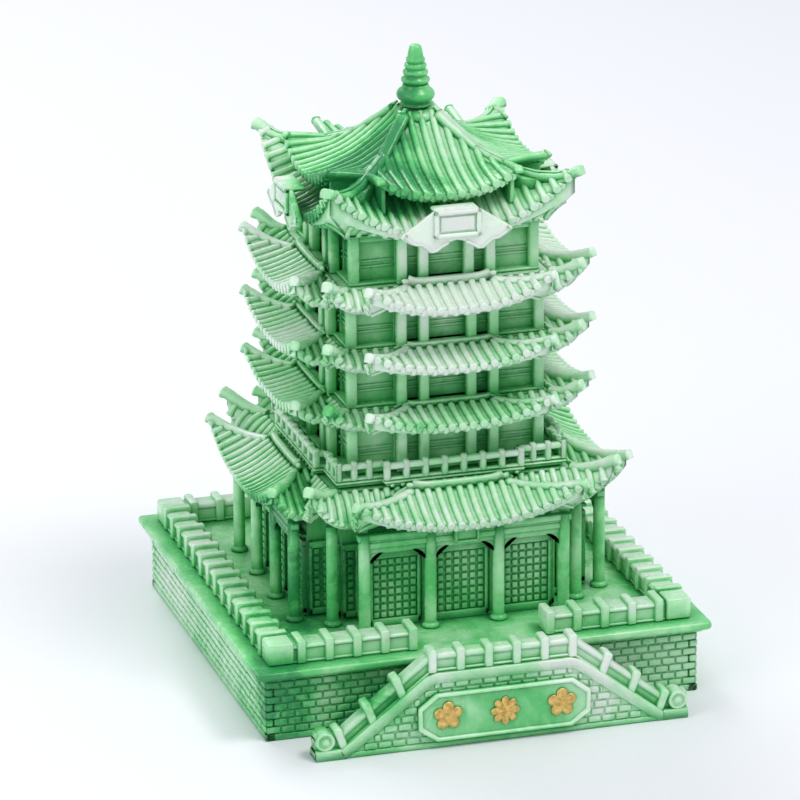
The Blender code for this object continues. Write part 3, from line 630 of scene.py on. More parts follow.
def make_stair_core():
    low, high = span("stair_core")
    slab_low, slab_high = span("terrace_slab")
    top = slab_high.z
    steps = 8
    tread = (SLOPE_END - SLOPE_START) / steps
    rise = top / (steps + 1)
    core = Solid()
    step_back = slab_low.y - 0.3
    core.box((-SLOPE_START, low.y, 0.0), (SLOPE_START, step_back, top), 0.3)
    core.box((-SLOPE_START, low.y, 0.0), (SLOPE_START, high.y, slab_low.z - 0.3), 0.2)
    for step in range(steps):
        half = SLOPE_START + tread * (step + 0.3)
        height = top - rise * (step + 1)
        back = step_back if height > slab_low.z - 0.3 else high.y
        core.box((-half, low.y, 0.0), (half, back, height), 0.3)
        nose = height - 0.55
        core.box((-half - 0.25, low.y, nose), (half + 0.25, back, height), 0.25)
    piece("stair_steps", core, "jade_plinth", plinth_look, "stair_core")


def make_plaque():
    low, high = span("plaque_frame")
    panel_low, panel_high = span("plaque_panel")
    middle = (low.z + high.z) / 2
    half_z = (high.z - low.z) / 2
    cut = 4.1

    def octagon(shrink):
        half, tall = high.x - shrink, half_z - shrink
        slant = cut - 0.45 * shrink
        rise = 3.1 - 0.3 * shrink
        return [(-half + slant, -tall), (half - slant, -tall), (half, -tall + rise),
                (half, tall - rise), (half - slant, tall), (-half + slant, tall),
                (-half, tall - rise), (-half, -tall + rise)]

    rim = Solid()
    levels = ((0.0, 0.35), (0.0, -0.45), (0.25, -0.8), (0.55, -0.9), (0.85, -0.75), (1.15, -0.2),
              (1.15, 0.35))
    rim.rings([[(x, low.y + 0.9 + depth, z + middle) for x, z in octagon(shrink)]
               for shrink, depth in levels], loop=True)
    piece("plaque_rim", rim, "jade_rail", rail_look, "plaque_frame")
    board = Solid()
    board.slab([(x, z + middle) for x, z in octagon(1.0)], panel_low.y, panel_high.y + 0.3, 0.12)
    piece("plaque_field", board, "jade_green", hall_look, "plaque_panel")


def blossom(solid, x, z, face, radius, petals):
    """A domed flower: a grid in polar steps whose outline and creases follow the petals."""
    around, outwards = petals * 10, 10
    back = face + 0.35
    rings = [[(x + 0.02 * math.cos(2 * math.pi * i / around), back,
               z + 0.02 * math.sin(2 * math.pi * i / around)) for i in range(around)]]
    for step in ([1.0] + spread(1.0, 0.04, outwards)):
        ring = []
        for i in range(around):
            a = 2 * math.pi * i / around
            wave = abs(math.cos(petals * a / 2)) ** 0.7
            reach = radius * (0.62 + 0.38 * wave) * step
            crease = 0.25 + 0.75 * wave
            dome = 0.42 * crease * math.sin(math.pi * min(step, 0.97)) ** 0.6
            button = 0.5 * math.exp(-((step / 0.22) ** 4))
            flat = len(rings) == 1
            depth = 0.0 if flat else -max(dome * (1 - button), button * 0.95) - 0.05
            ring.append((x + reach * math.sin(a), face + 0.15 + depth * 0.9,
                         z + reach * math.cos(a)))
        rings.append(ring)
    solid.rings(rings)


def make_emblems():
    for name, petals in (("left", 5), ("centre", 8), ("right", 5)):
        low, high = span("gold_emblem_" + name)
        flower = Solid()
        blossom(flower, (low.x + high.x) / 2, (low.z + high.z) / 2, low.y + 0.32, 3.3, petals)
        piece("gold_blossom_" + name, flower, "gold_paint", gold_look, "gold_emblem_" + name)


# Ground-floor hall


HALL_HALF, HALL_BAY, HALL_REACH = 25.5, 21.4, 32.3
hall_low, hall_high = span("hall_core")
HALL_FOOT, HALL_TOP = hall_low.z - 0.3, hall_high.z
COLUMN_X = (7.9, 23.1)
COLUMN_Y = -35.7
PAD = (1.75, 1.8, 1.28)  # pitch across, pitch up, side of a lattice pad


def lattice_panel(solid, left, right, y):
    """A door leaf: moulded frame, a lattice of raised pads, and a plain foot panel."""
    low, high = HALL_FOOT + 0.4, HALL_TOP - 6.6
    sill = low + 1.5
    head = high - 0.6
    frame_wide = 0.8
    solid.box((left, y - 0.9, low), (right, y + 0.3, sill), 0.2)
    solid.box((left, y - 0.9, head), (right, y + 0.3, high + 1.0), 0.2)
    for x in (left, right - frame_wide):
        solid.box((x, y - 0.9, low), (x + frame_wide, y + 0.3, high), 0.2)
    across, up, side = PAD
    wide = right - left - 2 * frame_wide
    columns = max(1, round(wide / across))
    rows = round((head - sill) / up)
    for i in range(columns):
        x = left + frame_wide + wide * (i + 0.5) / columns
        for j in range(rows):
            z = mix(sill, head, (j + 0.5) / rows)
            solid.box((x - side / 2, y - 0.62, z - side / 2),
                      (x + side / 2, y + 0.3, z + side / 2), 0.15)


def make_hall():
    walls = Solid()
    low, high = HALL_FOOT, HALL_TOP
    cross_walls(walls, HALL_HALF, HALL_BAY, HALL_REACH, low, high)
    front = Solid()
    lattice_panel(front, -6.4, 6.4, -HALL_REACH)
    for sign in (-1, 1):
        left, right = sorted((sign * 9.3, sign * 21.2))
        lattice_panel(front, left, right, -HALL_REACH)
        x = sign * 7.85
        front.box((x - 1.2, -HALL_REACH - 0.5, low), (x + 1.2, -HALL_REACH + 0.2, high), 0.3)
        left, right = sorted((sign * 21.6, sign * 25.3))
        lattice_panel(front, left, right, -HALL_HALF)
    front.box((-HALL_BAY, -HALL_REACH - 0.8, low), (HALL_BAY, -HALL_REACH + 0.2, low + 0.7), 0.2)
    front.box((-HALL_BAY, -HALL_REACH - 1.1, high - 4.8), (HALL_BAY, -HALL_REACH + 0.2, high - 3.9),
              0.25)
    walls.take(front.copies())
    side = Solid()
    lattice_panel(side, 26.0, 31.9, -HALL_BAY)
    flipped = Solid()
    flipped.add([(-x, y, z) for x, y, z in side.points], side.faces)
    walls.take(side.copies(), flipped.copies())
    piece("hall_walls", walls, "jade_green", hall_look, "hall_core")


def hall_column(solid, x, y):
    foot, top = HALL_FOOT, HALL_TOP
    solid.turned([(1.95, foot), (2.0, foot + 0.3), (1.95, foot + 0.7), (1.6, foot + 1.0),
                  (1.34, foot + 1.3), (1.34, foot + 8.0), (1.32, foot + 15.0),
                  (1.30, top - 0.1)], x, y)


def bracket(solid, x, sign, top):
    """A curved corner bracket from a column to the beam over it."""
    reach, drop = 3.0, 2.6
    outline = [(x, top), (x, top - drop)]
    for i in range(1, 6):
        a = math.radians(90) * i / 6
        outline.append((x + sign * reach * (1 - math.cos(a)), top - drop * (1 - math.sin(a))))
    outline.append((x + sign * reach, top))
    if sign > 0:
        outline.reverse()
    solid.slab(outline, COLUMN_Y - 0.45, COLUMN_Y + 0.45, 0.15)


def make_colonnades():
    top = HALL_TOP
    run = Solid()
    reach = COLUMN_X[1] + 1.6
    run.box((-reach, COLUMN_Y - 0.9, top - 1.6), (reach, COLUMN_Y + 1.0, top), 0.3)
    run.box((-reach + 0.4, COLUMN_Y - 0.6, top - 2.0),
            (reach - 0.4, COLUMN_Y + 0.7, top - 1.4), 0.1)
    run.box((-reach + 0.6, COLUMN_Y - 0.75, top - 3.5), (reach - 0.6, COLUMN_Y + 0.9, top - 1.9),
            0.3)
    spots = [-COLUMN_X[1], -COLUMN_X[0], COLUMN_X[0], COLUMN_X[1]]
    for x in spots:
        hall_column(run, x, COLUMN_Y)
    for left, right in zip(spots, spots[1:]):
        run.box((left, COLUMN_Y - 0.35, top - 4.7), (right, COLUMN_Y + 0.35, top - 3.4), 0.15)
        bracket(run, left + 1.2, 1, top - 4.5)
        bracket(run, right - 1.2, -1, top - 4.5)
    for quarter, side in enumerate(SIDES):
        name = "hall_colonnade_" + side
        piece(name + "_columns", run.copies((quarter,)), "jade_green", hall_look, name)
    for name, sx, sy in (("front_left", -1, -1), ("front_right", 1, -1), ("rear_right", 1, 1),
                         ("rear_left", -1, 1)):
        node = "hall_corner_column_" + name
        column = Solid()
        hall_column(column, sx * 28.4, sy * 28.4)
        piece(node + "_shaft", column, "jade_green", hall_look, node)


def make_tablet():
    low, high = span("hall_tablet")
    board = Solid()
    board.box((low.x, low.y + 0.5, low.z), (high.x, high.y + 0.4, high.z), 0.3)
    border(board, (low.x, high.x), (low.z, high.z), (low.y, low.y + 0.7), 0.6, 0.2)
    piece("hall_blank_tablet", board, "jade_green", hall_look, "hall_tablet")


# Roofs


DROOP = 2.4  # how sharply an eave turns up at its tips
TILE = 1.5  # thickness of a roof's shell
RIB_PITCH = 2.45
RIB = 0.80  # radius of a row of round tiles
HIP_SAG = 1.1


class Slope:
    """One roof slope: a quad in plan from its eave up to its inner edge."""

    def __init__(self, eave, inner, tips, eave_z, inner_z, sag=HIP_SAG, hollow=0.45, depth=1.2,
                 corner_rise=0.0, flat_from=0.85):
        self.eave = [Vector(point) for point in eave]
        self.inner = [Vector(point) for point in inner]
        self.tips = tips
        self.eave_z = eave_z
        self.inner_z = inner_z
        self.sag = sag
        self.hollow = hollow
        self.depth = depth
        self.ceiling = eave_z - 0.6
        self.corner_rise = corner_rise
        self.flat_from = flat_from

    def bend(self, s):
        left, right = self.tips
        s = min(max(s, 0.0), 1.0)
        if left is not None and right is not None:
            return abs(2 * s - 1) ** DROOP, (left if s < 0.5 else right)
        return (s ** DROOP, right) if left is None else ((1 - s) ** DROOP, left)

    def point(self, s, t):
        outer = self.eave[0].lerp(self.eave[1], s)
        inner = self.inner[0].lerp(self.inner[1], s)
        plan = outer.lerp(inner, t)
        share, tip = self.bend(s)
        z = mix(self.eave_z, tip, share)
        rise = (1 - self.hollow) * t + self.hollow * t * abs(t)
        sag = self.sag * share * math.sin(math.pi * min(max(t, 0.0), 1.0))
        inner_z = self.inner_z + self.corner_rise * share ** 3
        return Vector((plan.x, plan.y, mix(z, inner_z, rise) - sag))

    def under(self, s, t):
        """The underside: from the eave's thick edge in to a flat ceiling."""
        top = self.point(s, t)
        edge = self.point(s, 0.0).z - TILE - self.depth * self.bend(s)[0]
        inside = mix(edge, self.ceiling, min(t / self.flat_from, 1.0))
        return Vector((top.x, top.y, min(inside, top.z - 0.9)))

    def shell(self, solid, across=24, up=8):
        places = [(i / across, j / up) for j in range(up + 1) for i in range(across + 1)]
        points = [self.point(s, t) for s, t in places] + [self.under(s, t) for s, t in places]
        wide = across + 1
        under = wide * (up + 1)
        faces = []
        for j in range(up):
            for i in range(across):
                a = j * wide + i
                faces.append((a, a + 1, a + wide + 1, a + wide))
                faces.append((under + a, under + a + wide, under + a + wide + 1, under + a + 1))
        rim = list(range(wide))
        rim += [j * wide + across for j in range(1, up + 1)]
        rim += [up * wide + i for i in range(across - 1, -1, -1)]
        rim += [j * wide for j in range(up - 1, 0, -1)]
        for a, b in zip(rim, rim[1:] + rim[:1]):
            faces.append((a, under + a, under + b, b))
        solid.add(points, faces)

    def rib_path(self, along, steps=14):
        """Points of the line across the slope that keeps one place along the inner edge."""
        axis = (self.inner[1] - self.inner[0]).normalized()
        ends = [[(corner - self.inner[0]).dot(axis) for corner in pair]
                for pair in (self.eave, self.inner)]
        path = []
        for j in range(steps + 1):
            t = j / steps
            low = mix(ends[0][0], ends[1][0], t)
            high = mix(ends[0][1], ends[1][1], t)
            s = (along - low) / (high - low)
            if 0.0 <= s <= 1.0:
                path.append((s, t))
        return path

    def ribs(self, solid, pitch=RIB_PITCH, radius=RIB, lift=-0.05):
        """Rows of round tiles, each with a tile end, and a drip tile between two rows."""
        axis = (self.inner[1] - self.inner[0]).normalized()
        reach = [(corner - self.inner[0]).dot(axis) for corner in self.eave + self.inner]
        low, high = min(reach), max(reach)
        middle = (low + high) / 2
        count = int((high - low) / 2 / pitch)
        for i in range(-count, count + 1):
            along = middle + i * pitch
            path = self.rib_path(along)
            if len(path) < 2:
                continue
            self.one_rib(solid, path, radius, lift)
            drip = self.rib_path(along + pitch / 2)
            if len(drip) > 3 and drip[0][1] == 0.0:
                self.drip(solid, drip)

    def one_rib(self, solid, path, radius, lift):
        points = [self.point(s, t) for s, t in path]
        line = resample(points, 0.72)
        line = [p + Vector((0, 0, lift)) for p in line]
        scales = [1.0 + (0.07 if i % 3 == 0 else 0.0) for i in range(len(line))]
        if path[0][1] == 0.0:
            out = (line[0] - line[1]).normalized()
            line = [line[0] + out * 1.0, line[0] + out * 0.9, line[0] + out * 0.35,
                    line[0] + out * 0.2] + line
            scales = [0.85, 1.16, 1.16, 1.0] + scales
        solid.sweep(line, circle(radius), scales)

    def drip(self, solid, path):
        first, second = (self.point(s, t) for s, t in path[:2])
        out = (first - second).normalized()
        base = first + Vector((0, 0, -0.55))
        tongue = [(-0.75, 0.4), (0.75, 0.4), (0.66, -0.7), (0.0, -1.2), (-0.66, -0.7)]
        solid.sweep([base - out * 0.6, base + out * 0.55, base + out * 0.7], tongue,
                    [1.0, 1.0, 0.8])

    def rafters(self, solid, pitch=RIB_PITCH, drop=0.15):
        """Square rafter ends under the eave."""
        axis = (self.inner[1] - self.inner[0]).normalized()
        reach = [(corner - self.inner[0]).dot(axis) for corner in self.eave]
        count = int((reach[1] - reach[0]) / pitch) - 1
        for i in range(count + 1):
            path = self.rib_path(mix(reach[0], reach[1], (i + 1) / (count + 2)))
            if len(path) < 6 or path[0][1] > 0.0:
                continue
            points = [self.under(s, t) - Vector((0, 0, drop)) for s, t in path[:7]]
            out = (points[0] - points[1]).normalized()
            points = [points[0] - out * 0.5] + points[1:]
            solid.sweep(points, [(-0.5, -0.35), (0.5, -0.35), (0.5, 0.5), (-0.5, 0.5)])

    def edge_line(self, s, start=0.0, steps=12):
        return [self.point(s, mix(start, 1.0, i / steps)) for i in range(steps + 1)]


def resample(points, step):
    """Points an even distance apart along a line."""
    made = [points[0]]
    left = step
    for a, b in zip(points, points[1:]):
        length = (b - a).length
        done = 0.0
        while length - done >= left:
            done += left
            made.append(a.lerp(b, done / length))
            left = step
        left -= length - done
    if (points[-1] - made[-1]).length > 0.25 * step or len(made) < 2:
        made.append(points[-1])
    return made


def hip_bar(solid, points, width=2.1, height=1.9, reach=1.5, curl=0.3, sink=1.1):
    """A heavy ridge from a tip up a hip. Its outer end swells into an upturned knob."""
    line = resample([Vector(p) for p in points], 0.9)
    out = (line[0] - line[2]).normalized()
    flat = Vector((out.x, out.y, 0)).normalized()
    tip = line[0]
    ends = []
    for share in (1.0, 0.93, 0.75, 0.5, 0.25):
        ends.append(tip + flat * reach * share + UP * (curl * share ** 1.6))
    scales = [0.45, 0.82, 1.08, 1.12, 1.05] + [1.0] * len(line)
    line = [p - UP * sink for p in ends + line]
    solid.sweep(line, rounded_bar(width, height, 0.7), scales)


def ridge_bar(solid, start, end, height, horn, width=1.3):
    """A ridge with a moulded top and raised, pointed ends."""
    start, end = Vector(start), Vector(end)
    out = (start - end).normalized()
    count = 16
    line = []
    for i in range(count + 1):
        t = i / count
        near = abs(2 * t - 1) ** 6
        line.append(start.lerp(end, t) + UP * horn * near * 0.6)
    solid.sweep(line, rounded_bar(width, height, 0.3))
    for spot, away in ((start, out), (end, -out)):
        horns = [spot - away * 0.6, spot + away * 0.3 + UP * horn * 0.35,
                 spot + away * 0.8 + UP * horn * 0.8, spot + away * 1.1 + UP * horn * 1.25]
        solid.sweep(horns, rounded_bar(width * 0.95, height * 0.95, 0.4), [1.0, 1.0, 0.8, 0.35])


ROOFS = {
    # millimetres: main tip, valley, bay tip; deck half, bay half, reach; eave, tips and deck
    "roof_1": (35.0, (24.6, 33.2), (25.9, 41.1), (27.6, 10.8, 31.6), (40.8, 48.8, 51.2, 47.6)),
    "roof_2": (28.6, (19.5, 27.2), (20.7, 33.9), (23.6, 9.8, 25.4), (61.2, 66.6, 67.3, 64.9)),
    "roof_3": (28.6, (19.5, 27.2), (20.7, 33.9), (23.6, 9.8, 25.4), (74.7, 80.5, 81.4, 78.6)),
    "roof_4": (28.6, (19.5, 27.2), (20.7, 33.9), (23.6, 9.8, 25.4), (88.2, 95.4, 95.7, 92.8)),
}


def make_tiled_roof(name, look, slot, ridge_height, horn):
    main_tip, valley, bay_tip, (half, bay_half, reach), heights = ROOFS[name]
    eave_z, bay_z, main_z, deck_z = heights
    top = eave_z + 1.6
    bay = Slope([(-bay_tip[0], -bay_tip[1]), (bay_tip[0], -bay_tip[1])],
                [(-bay_half, -reach), (bay_half, -reach)], (bay_z, bay_z), top, deck_z)
    flank = Slope([valley_point(valley), (bay_tip[0], -bay_tip[1])],
                  [(bay_half, -half), (bay_half, -reach)], (None, bay_z), top, deck_z)
    main = Slope([valley_point(valley), (main_tip, -main_tip)],
                 [(bay_half, -half), (half, -half)], (None, main_z), top, deck_z)

    fronts, halves = Solid(), Solid()
    bay.shell(fronts, 32)
    bay.ribs(fronts)
    bay.rafters(fronts)
    for slope in (flank, main):
        slope.shell(halves, 12)
        slope.ribs(halves)
        slope.rafters(halves)
    hip_bar(halves, bay.edge_line(1.0))
    valley_line = main.edge_line(0.0)
    halves.sweep([p - UP * 0.7 for p in valley_line], circle(0.75, 8))
    roof = Solid().take(fronts.copies(), halves.copies(mirrored=True))

    corner = Solid()
    hip_bar(corner, main.edge_line(1.0), 2.3, 2.1, 1.8, 0.4)
    roof.take(corner.copies())

    deck = Solid()
    under = deck_z - 1.9
    deck.box((-half, -half, under), (half, half, deck_z), 0.2)
    deck.box((-bay_half, -reach, under), (bay_half, reach, deck_z), 0.2)
    deck.box((-reach, -bay_half, under), (reach, bay_half, deck_z), 0.2)
    roof.take(deck)

    trim = Solid()
    rear = reach - 0.7
    ridge_bar(trim, (-bay_half, -rear, deck_z - 0.5), (bay_half, -rear, deck_z - 0.5),
              ridge_height, horn)
    roof.take(trim.copies())
    piece(name + "_tiles", roof, slot, look, name)


def valley_point(valley):
    return (valley[0], -valley[1])


# Top roof


SKIRT_TIP, SKIRT_EAVE_Z, SKIRT_INNER = (27.9, 117.2), 103.8, (16.3, 112.4)
ARM_HALF, ARM_REACH = 15.7, 25.4
ARM_TIP_Z, ARM_EAVE_Z, ARM_FOOT_Z = 117.6, 113.3, 116.2
PEAK_HALF, PEAK_Z = 3.0, 125.8
TOP_PITCH = 2.62
HIP_LINE = ((28.3, 117.6), (27.0, 116.4), (25.0, 115.5), (21.5, 115.0), (18.4, 115.4),
            (16.0, 116.6), (14.0, 117.5), (12.0, 118.4), (10.5, 119.4), (8.4, 121.4),
            (7.0, 122.9), (5.2, 124.6), (3.4, 126.6))


def make_skirt():
    tip, tip_z = SKIRT_TIP
    half, deck_z = SKIRT_INNER
    slope = Slope([(-tip, -tip), (tip, -tip)], [(-half, -half), (half, -half)],
                  (tip_z, tip_z), SKIRT_EAVE_Z + 1.6, deck_z, sag=2.2, depth=4.0,
                  corner_rise=3.6, flat_from=0.42)
    side = Solid()
    slope.shell(side, 40)
    slope.ribs(side, TOP_PITCH, 0.85)
    slope.rafters(side, TOP_PITCH)
    skirt = side.copies()
    skirt.box((-half, -half, deck_z - 6.0), (half, half, deck_z), 0.2)
    piece("top_skirt_tiles", skirt, "jade_pale", pale_look, "top_roof_skirt")


class ArmSlope(Slope):
    """One side of the top roof: an arm over the gable, then the pyramid up to the finial."""

    def height(self, x, y):
        far = abs(y)
        if far > ARM_HALF:
            share = (ARM_REACH - far) / (ARM_REACH - ARM_HALF)
            eave = mix(ARM_EAVE_Z, ARM_TIP_Z, min(abs(x) / ARM_HALF, 1.0) ** DROOP)
            return mix(eave, ARM_FOOT_Z, 0.6 * share + 0.4 * share * share)
        share = (ARM_HALF - far) / (ARM_HALF - PEAK_HALF)
        return mix(ARM_FOOT_Z, PEAK_Z, 0.62 * share + 0.38 * share * share)

    def point(self, s, t):
        y = mix(-ARM_REACH, -PEAK_HALF, t)
        half = min(ARM_HALF, max(abs(y), PEAK_HALF)) if abs(y) < ARM_HALF else ARM_HALF
        x = mix(-half, half, s)
        return Vector((x, y, self.height(x, y)))

    def under(self, s, t):
        top = self.point(s, t)
        return Vector((top.x, top.y, top.z - TILE if abs(top.y) > ARM_HALF else 112.9))

    def rib_path(self, along, steps=28):
        x = along - ARM_HALF
        path = []
        for j in range(steps + 1):
            t = j / steps
            y = abs(mix(-ARM_REACH, -PEAK_HALF, t))
            half = min(ARM_HALF, y)
            if abs(x) <= half:
                path.append(((x + half) / (2 * half), t))
        return path


def make_pyramid():
    slope = ArmSlope([(-ARM_HALF, -ARM_REACH), (ARM_HALF, -ARM_REACH)],
                     [(-ARM_HALF, -PEAK_HALF), (ARM_HALF, -PEAK_HALF)], (ARM_TIP_Z, ARM_TIP_Z),
                     ARM_EAVE_Z, PEAK_Z)
    side = Solid()
    slope.shell(side, 28, 20)
    slope.ribs(side, TOP_PITCH, 0.85)
    slope.rafters(side, TOP_PITCH)
    verge = Solid()
    edge = [(ARM_HALF, -mix(ARM_REACH, 14.4, i / 12)) for i in range(13)]
    hip_bar(verge, [(x, y, slope.height(x, y)) for x, y in edge], 1.8, 1.7, 1.2, 0.8)
    wall = [(ARM_HALF - 0.9, y) for y in (-ARM_REACH + 1.2, -15.0)]
    verge.box((wall[0][0] - 0.6, wall[0][1], 109.5), (wall[0][0] + 0.4, wall[1][1], 115.4), 0.2)
    roof = Solid().take(side.copies(), verge.copies(mirrored=True))

    hip = Solid()
    hip_bar(hip, [(a, -a, z - 1.7) for a, z in HIP_LINE], 3.0, 1.9, 1.6, 0.3, 0.1)
    hip.sweep([(a - 0.2, -a + 0.2, z - 0.1) for a, z in HIP_LINE[1:]], rounded_bar(0.9, 0.6, 0.2))
    hip.sweep([(a, -a, z - 5.2) for a, z in HIP_LINE[3:9]], rounded_bar(5.4, 4.2, 0.5))
    roof.take(hip.copies())

    cap = Solid()
    cap.turned([(5.2, PEAK_Z - 2.4), (5.0, PEAK_Z - 1.2), (4.6, PEAK_Z - 0.5),
                (3.8, PEAK_Z + 0.2)], sides=32)
    roof.take(cap)
    piece("top_roof_tiles", roof, "jade_deep", deep_look, "top_roof_pyramid")


def make_gables():
    low, high = span("gable_board_front")
    face, back = low.y + 0.8, low.y + 2.1
    half, top = high.x, high.z - 0.25
    lobe = low.z
    board = Solid()
    right = [(2.2, lobe + 1.9), (3.9, lobe + 1.0), (5.2, lobe + 0.1), (6.2, lobe),
             (7.2, lobe + 0.8), (8.6, lobe + 1.9), (10.2, lobe + 2.1), (11.6, lobe + 2.9),
             (half, lobe + 3.9), (half - 0.5, lobe + 4.5), (8.4, lobe + 7.1), (5.3, top - 0.2)]
    outline = [(0.0, lobe + 2.5)] + right + [(-x, z) for x, z in reversed(right)]
    board.slab(outline, face, back, 0.3)
    rim = [(x * 0.93, lobe + 0.35 + (z - lobe) * 0.93) for x, z in right[:-2]]
    for sign in (-1, 1):
        board.sweep([(sign * x, face + 0.15, z) for x, z in rim], circle(0.42, 8))
    frame_low, frame_high = lobe + 3.2, top + 0.1
    wide, bar = 5.3, 1.0
    front = low.y
    border(board, (-wide, wide), (frame_low, frame_high), (front, face + 0.3), bar, 0.25)
    board.box((-wide + 0.3, face - 0.1, frame_low + 0.3), (wide - 0.3, back, frame_high - 0.3), 0.1)
    inner = 0.45
    board.box((-wide + bar + inner, face - 0.45, frame_low + bar + inner),
              (wide - bar - inner, face + 0.2, frame_high - bar - inner), 0.2)
    hood_top = high.z
    board.box((-wide + 0.3, front + 0.3, hood_top - 0.9), (wide - 0.3, high.y, hood_top), 0.3)
    for quarter, side in enumerate(SIDES):
        name = "gable_board_" + side
        piece(name + "_carving", board.copies((quarter,)), "jade_pale", pale_look, name)


# Balcony and storeys


def cross_walls(solid, half, bay_half, reach, low, high, edge=0.2):
    solid.box((-half, -half, low), (half, half, high), edge)
    solid.box((-bay_half, -reach, low), (bay_half, reach, high), edge)
    solid.box((-reach, -bay_half, low), (reach, bay_half, high), edge)


def make_balcony():
    low, high = span("balcony_deck")
    deck = Solid()
    cross_walls(deck, 26.8, 16.3, high.x, high.z - 0.7, high.z, 0.25)
    cross_walls(deck, 26.1, 15.6, high.x - 0.7, low.z, high.z - 0.3, 0.25)
    joists = Solid()
    for x in spread(-14.4, 14.4, 13):
        joists.box((x - 0.45, -high.x - 0.05, low.z + 0.05), (x + 0.45, -high.x + 1.2, low.z + 0.8),
                   0.15)
    deck.take(joists.copies())
    piece("balcony_floor", deck, "jade_rail", rail_look, "balcony_deck")

    line, bay, front = 26.0, 15.5, high.x - 0.8
    foot = high.z
    rail = Solid()
    runs = [((-line, -line), (-bay, -line)), ((-bay, -line), (-bay, -front)),
            ((-bay, -front), (bay, -front)), ((bay, -front), (bay, -line)),
            ((bay, -line), (line, -line))]
    for (x0, y0), (x1, y1) in runs:
        a, b = (min(x0, x1), min(y0, y1)), (max(x0, x1), max(y0, y1))
        for wide, bottom, top in ((0.6, 0.0, 0.8), (0.7, 2.6, 4.0)):
            rail.box((a[0] - wide, a[1] - wide, foot + bottom),
                     (b[0] + wide, b[1] + wide, foot + top), 0.3)
    spots = [(x, -front) for x in spread(-bay, bay, 8)]
    side_posts = spread(bay, line, 4)[1:]
    spots += [(sign * x, -line) for x in side_posts for sign in (-1, 1)]
    for x, y in spots:
        rail.box((x - 0.75, y - 0.8, foot), (x + 0.75, y + 0.8, foot + 4.5), 0.35)
    for quarter, side in enumerate(SIDES):
        name = "balcony_railing_" + side
        piece(name + "_bars", rail.copies((quarter,)), "jade_rail", rail_look, name)


STOREY_BODY = (20.6, 11.8, 21.3)
STOREY_COLUMNS = (5.5, 10.6, 23.1, 21.6)
COLUMN = 2.3


def storey_mouldings(solid, left, right, y, foot, top):
    """Two thin mouldings across a plain wall that faces -Y."""
    for share in (0.30, 0.41):
        z = mix(foot, top, share)
        solid.box((left, y - 0.4, z), (right, y + 0.2, z + 0.6), 0.2)


def make_storey(name, share):
    low, high = span(name)
    foot, top = low.z - 0.3, high.z
    half, bay_half, reach = (v * share for v in STOREY_BODY)
    inner_x, outer_x, column_y, corner = (v * share for v in STOREY_COLUMNS)
    body = Solid()
    cross_walls(body, half, bay_half, reach, foot, top)
    ledge = COLUMN / 2 + 0.1
    cross_walls(body, corner + ledge, outer_x + ledge, column_y + ledge, foot, foot + 0.8, 0.25)
    cross_walls(body, corner + ledge, outer_x + ledge, column_y + ledge, top - 0.7, top, 0.2)
    front = Solid()
    side = COLUMN / 2
    for x in (-outer_x, -inner_x, inner_x, outer_x):
        front.box((x - side, -column_y - side, foot), (x + side, -column_y + side, top), 0.4)
    front.box((corner - side, -corner - side, foot), (corner + side, -corner + side, top), 0.4)
    beam = side * 0.62
    front.box((-outer_x, -column_y - beam, top - 1.9), (outer_x, -column_y + beam, top - 0.5), 0.25)
    for sign in (-1, 1):
        left, right = sorted((sign * outer_x, sign * corner))
        front.box((left, -corner - beam, top - 1.9), (right, -corner + beam, top - 0.5), 0.25)
    storey_mouldings(front, -bay_half, bay_half, -reach, foot, top)
    for sign in (-1, 1):
        left, right = sorted((sign * bay_half, sign * half))
        storey_mouldings(front, left, right, -half, foot, top)
    body.take(front.copies())
    piece(name + "_walls", body, "jade_green", storey_look, name)


# Finial


def make_finial():
    low, high = span("finial_bulb")
    middle, tall = (low.z + high.z) / 2, (high.z - low.z) / 2
    radius = high.x
    bulb = Solid()
    profile = [(3.4, low.z - 0.3), (3.5, low.z + 0.1)]
    for i in range(1, 12):
        a = math.pi * (i / 12)
        profile.append((max(radius * math.sin(a) ** 0.8, 3.0), middle - tall * 0.94 * math.cos(a)))
    profile += [(2.9, high.z), (2.6, high.z + 0.35)]
    bulb.turned(profile, sides=40)
    piece("finial_gourd", bulb, "jade_deep", finial_look, "finial_bulb")

    low, high = span("finial_spire")
    tip = high.z
    spire = Solid()
    profile = [(2.4, low.z - 0.2), (2.7, low.z + 0.1)]
    levels = [(3.25, low.z + 0.8), (2.85, low.z + 2.5), (2.5, low.z + 4.0), (2.15, low.z + 5.35)]
    for ring, z in levels:
        profile += [(ring * 0.84, z - 0.62), (ring * 0.96, z - 0.4), (ring, z),
                    (ring * 0.96, z + 0.4), (ring * 0.82, z + 0.62)]
    profile += [(1.75, low.z + 6.4), (1.5, tip - 1.2), (1.35, tip - 0.5), (1.0, tip - 0.1),
                (0.5, tip)]
    spire.turned(profile, sides=36)
    piece("finial_cone", spire, "jade_deep", finial_look, "finial_spire")


make_plinth()
make_terrace()
make_parapets()
make_stair_wall()
make_balustrade()
make_stair_core()
make_plaque()
make_emblems()
make_hall()
make_colonnades()
make_tablet()
make_tiled_roof("roof_1", roof_look, "jade_roof", 2.1, 1.6)
make_tiled_roof("roof_2", roof_look, "jade_roof", 1.5, 0.7)
make_tiled_roof("roof_3", roof_look, "jade_roof", 1.5, 0.7)
make_tiled_roof("roof_4", pale_look, "jade_pale", 2.1, 1.6)
make_skirt()
make_pyramid()
make_gables()
make_balcony()
make_storey("storey_2", 1.0)
make_storey("storey_3", 1.0)
make_storey("storey_4", 1.0)
make_storey("storey_5", 0.955)
make_finial()
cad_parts["base_plate"].data.materials.clear()
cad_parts["base_plate"].data.materials.append(plinth_look)


# Camera, floor and lights


